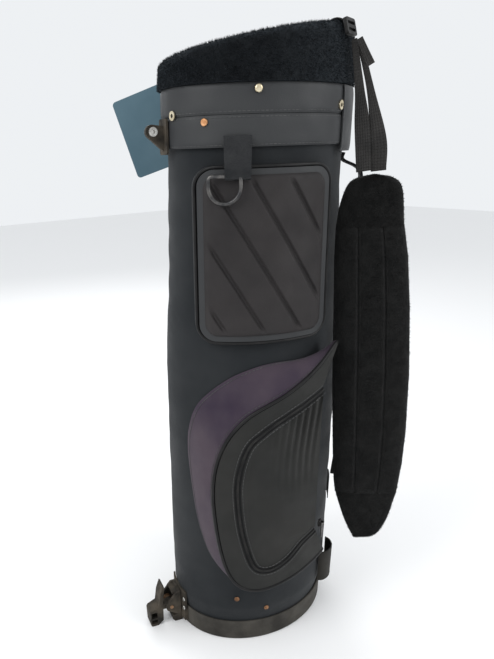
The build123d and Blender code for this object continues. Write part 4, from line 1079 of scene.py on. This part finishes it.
cap_left, cap_right, cap_z = cap_sides(TOP_CAP, 5, under=CAP_TUCK)
top, top_front = slab(
    "pad_top_patch", cap_left, cap_right, cap_z, CAP_HALF, plain, "pad_fur", "pad_top_cap",
    93
)
cap_left, cap_right, cap_z = cap_sides(LOW_CAP, 4, over=CAP_TUCK)
low_patch, low_front = slab(
    "pad_bottom_patch", cap_left, cap_right, cap_z, CAP_HALF, plain, "pad_fur",
    "pad_bottom_cap", 94
)
pile("top_patch_pile", top_front, False, 4500, PAD_PILE_LENGTH, "pad_fur", "strap", 95, PILE_DROOP)
pile("bottom_patch_pile", low_front, False, 5500, PAD_PILE_LENGTH, "pad_fur", "strap", 96, PILE_DROOP)
print("pad built")

# %% [markdown]
# ## Webbing
# Woven tape: three pieces at the top of the strap and one at its foot. Each one follows the middle
# line between its two edges.

# %% Webbing
def hung_webbing(name, left, right, away, node_name, thick=0.0017):
    """Tape in the strap's plane, between a left and a right edge given as (right, height) in mm."""
    left, right = (smooth_path(np.array(v, float) * MM, 60) for v in (left, right))
    middle_line = (left + right) / 2
    width = np.linalg.norm(right - left, axis=-1) * 0.96
    path = in_view(middle_line[:, 0], away, middle_line[:, 1])
    made = strap(name, path, -VIEW_AWAY, width, thick, "webbing", "strap")
    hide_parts(node_name)
    return made


hung_webbing("strap_webbing_left", [(122, 682), (116, 734), (113.5, 772), (106, 825)],
             [(141, 682), (134.5, 734), (125, 772), (112.5, 825)], PAD_MIDDLE - 0.001, "webbing_left")
hung_webbing("strap_webbing_right", [(140, 682), (136, 718), (128, 771), (112, 825)],
             [(159, 682), (156, 718), (137, 771), (118, 825)], PAD_MIDDLE + 0.0025, "webbing_right")
hung_webbing(
    "strap_webbing_tail", [(111, 825), (125, 796)], [(118, 825), (134, 799)], PAD_MIDDLE - 0.0045,
    "webbing_tail", 0.0014
)
lower_path = np.linspace(in_view(0.1295, 0.012, 0.2282), in_view(0.146, -0.0268, 0.4398), 60)
lower = strap(
    "strap_webbing_lower", lower_path, -VIEW_AWAY, np.linspace(0.008, 0.0198, 60), 0.0017,
    "webbing", "strap"
)
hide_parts("lower_webbing")


# %% [markdown]
# The strap hangs from a loop over the rim, and its lower end is sewn under a small patch.

# %% Anchors on the bag
ANCHOR_ANGLE, ANCHOR_MIDDLE, ANCHOR_BEND, ANCHOR_TOP = np.radians(-66.7), -13.8, 13.3, 833.6
bend = np.linspace(np.pi, 0, 7)
over_rim = [(ANCHOR_MIDDLE + ANCHOR_BEND * np.cos(t), ANCHOR_TOP + ANCHOR_BEND * np.sin(t)) for t in bend]
loop_points = [(over_rim[0][0], 792), (over_rim[0][0], 812), *over_rim]
polar = np.degrees(np.arctan2(FUR[1] * np.sin(ANCHOR_ANGLE), FUR[0] * np.cos(ANCHOR_ANGLE)))
path, n, side = cross_path(polar, loop_points, *FUR)
loop = strap(
    "strap_anchor_webbing", path, np.cross(side, path[1] - path[0]), 0.0195, 0.0016, "webbing",
    "bag"
)
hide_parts("strap_anchor")
patch_angle = np.radians(-38.5) + np.linspace(-0.1075, 0.1075, 24)[None, :]
z = np.linspace(0.1854, 0.2246, 30)[:, None]
fray = 0.0003 * ripple(60 * patch_angle, 300 * z, 97)
patch = skin(
    "lower_anchor_patch", body_wall(patch_angle, z, 0.0019 - fray),
    body_wall(patch_angle, z, 0.0004), "webbing", "bag"
)
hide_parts("lower_anchor")
print("webbing built")
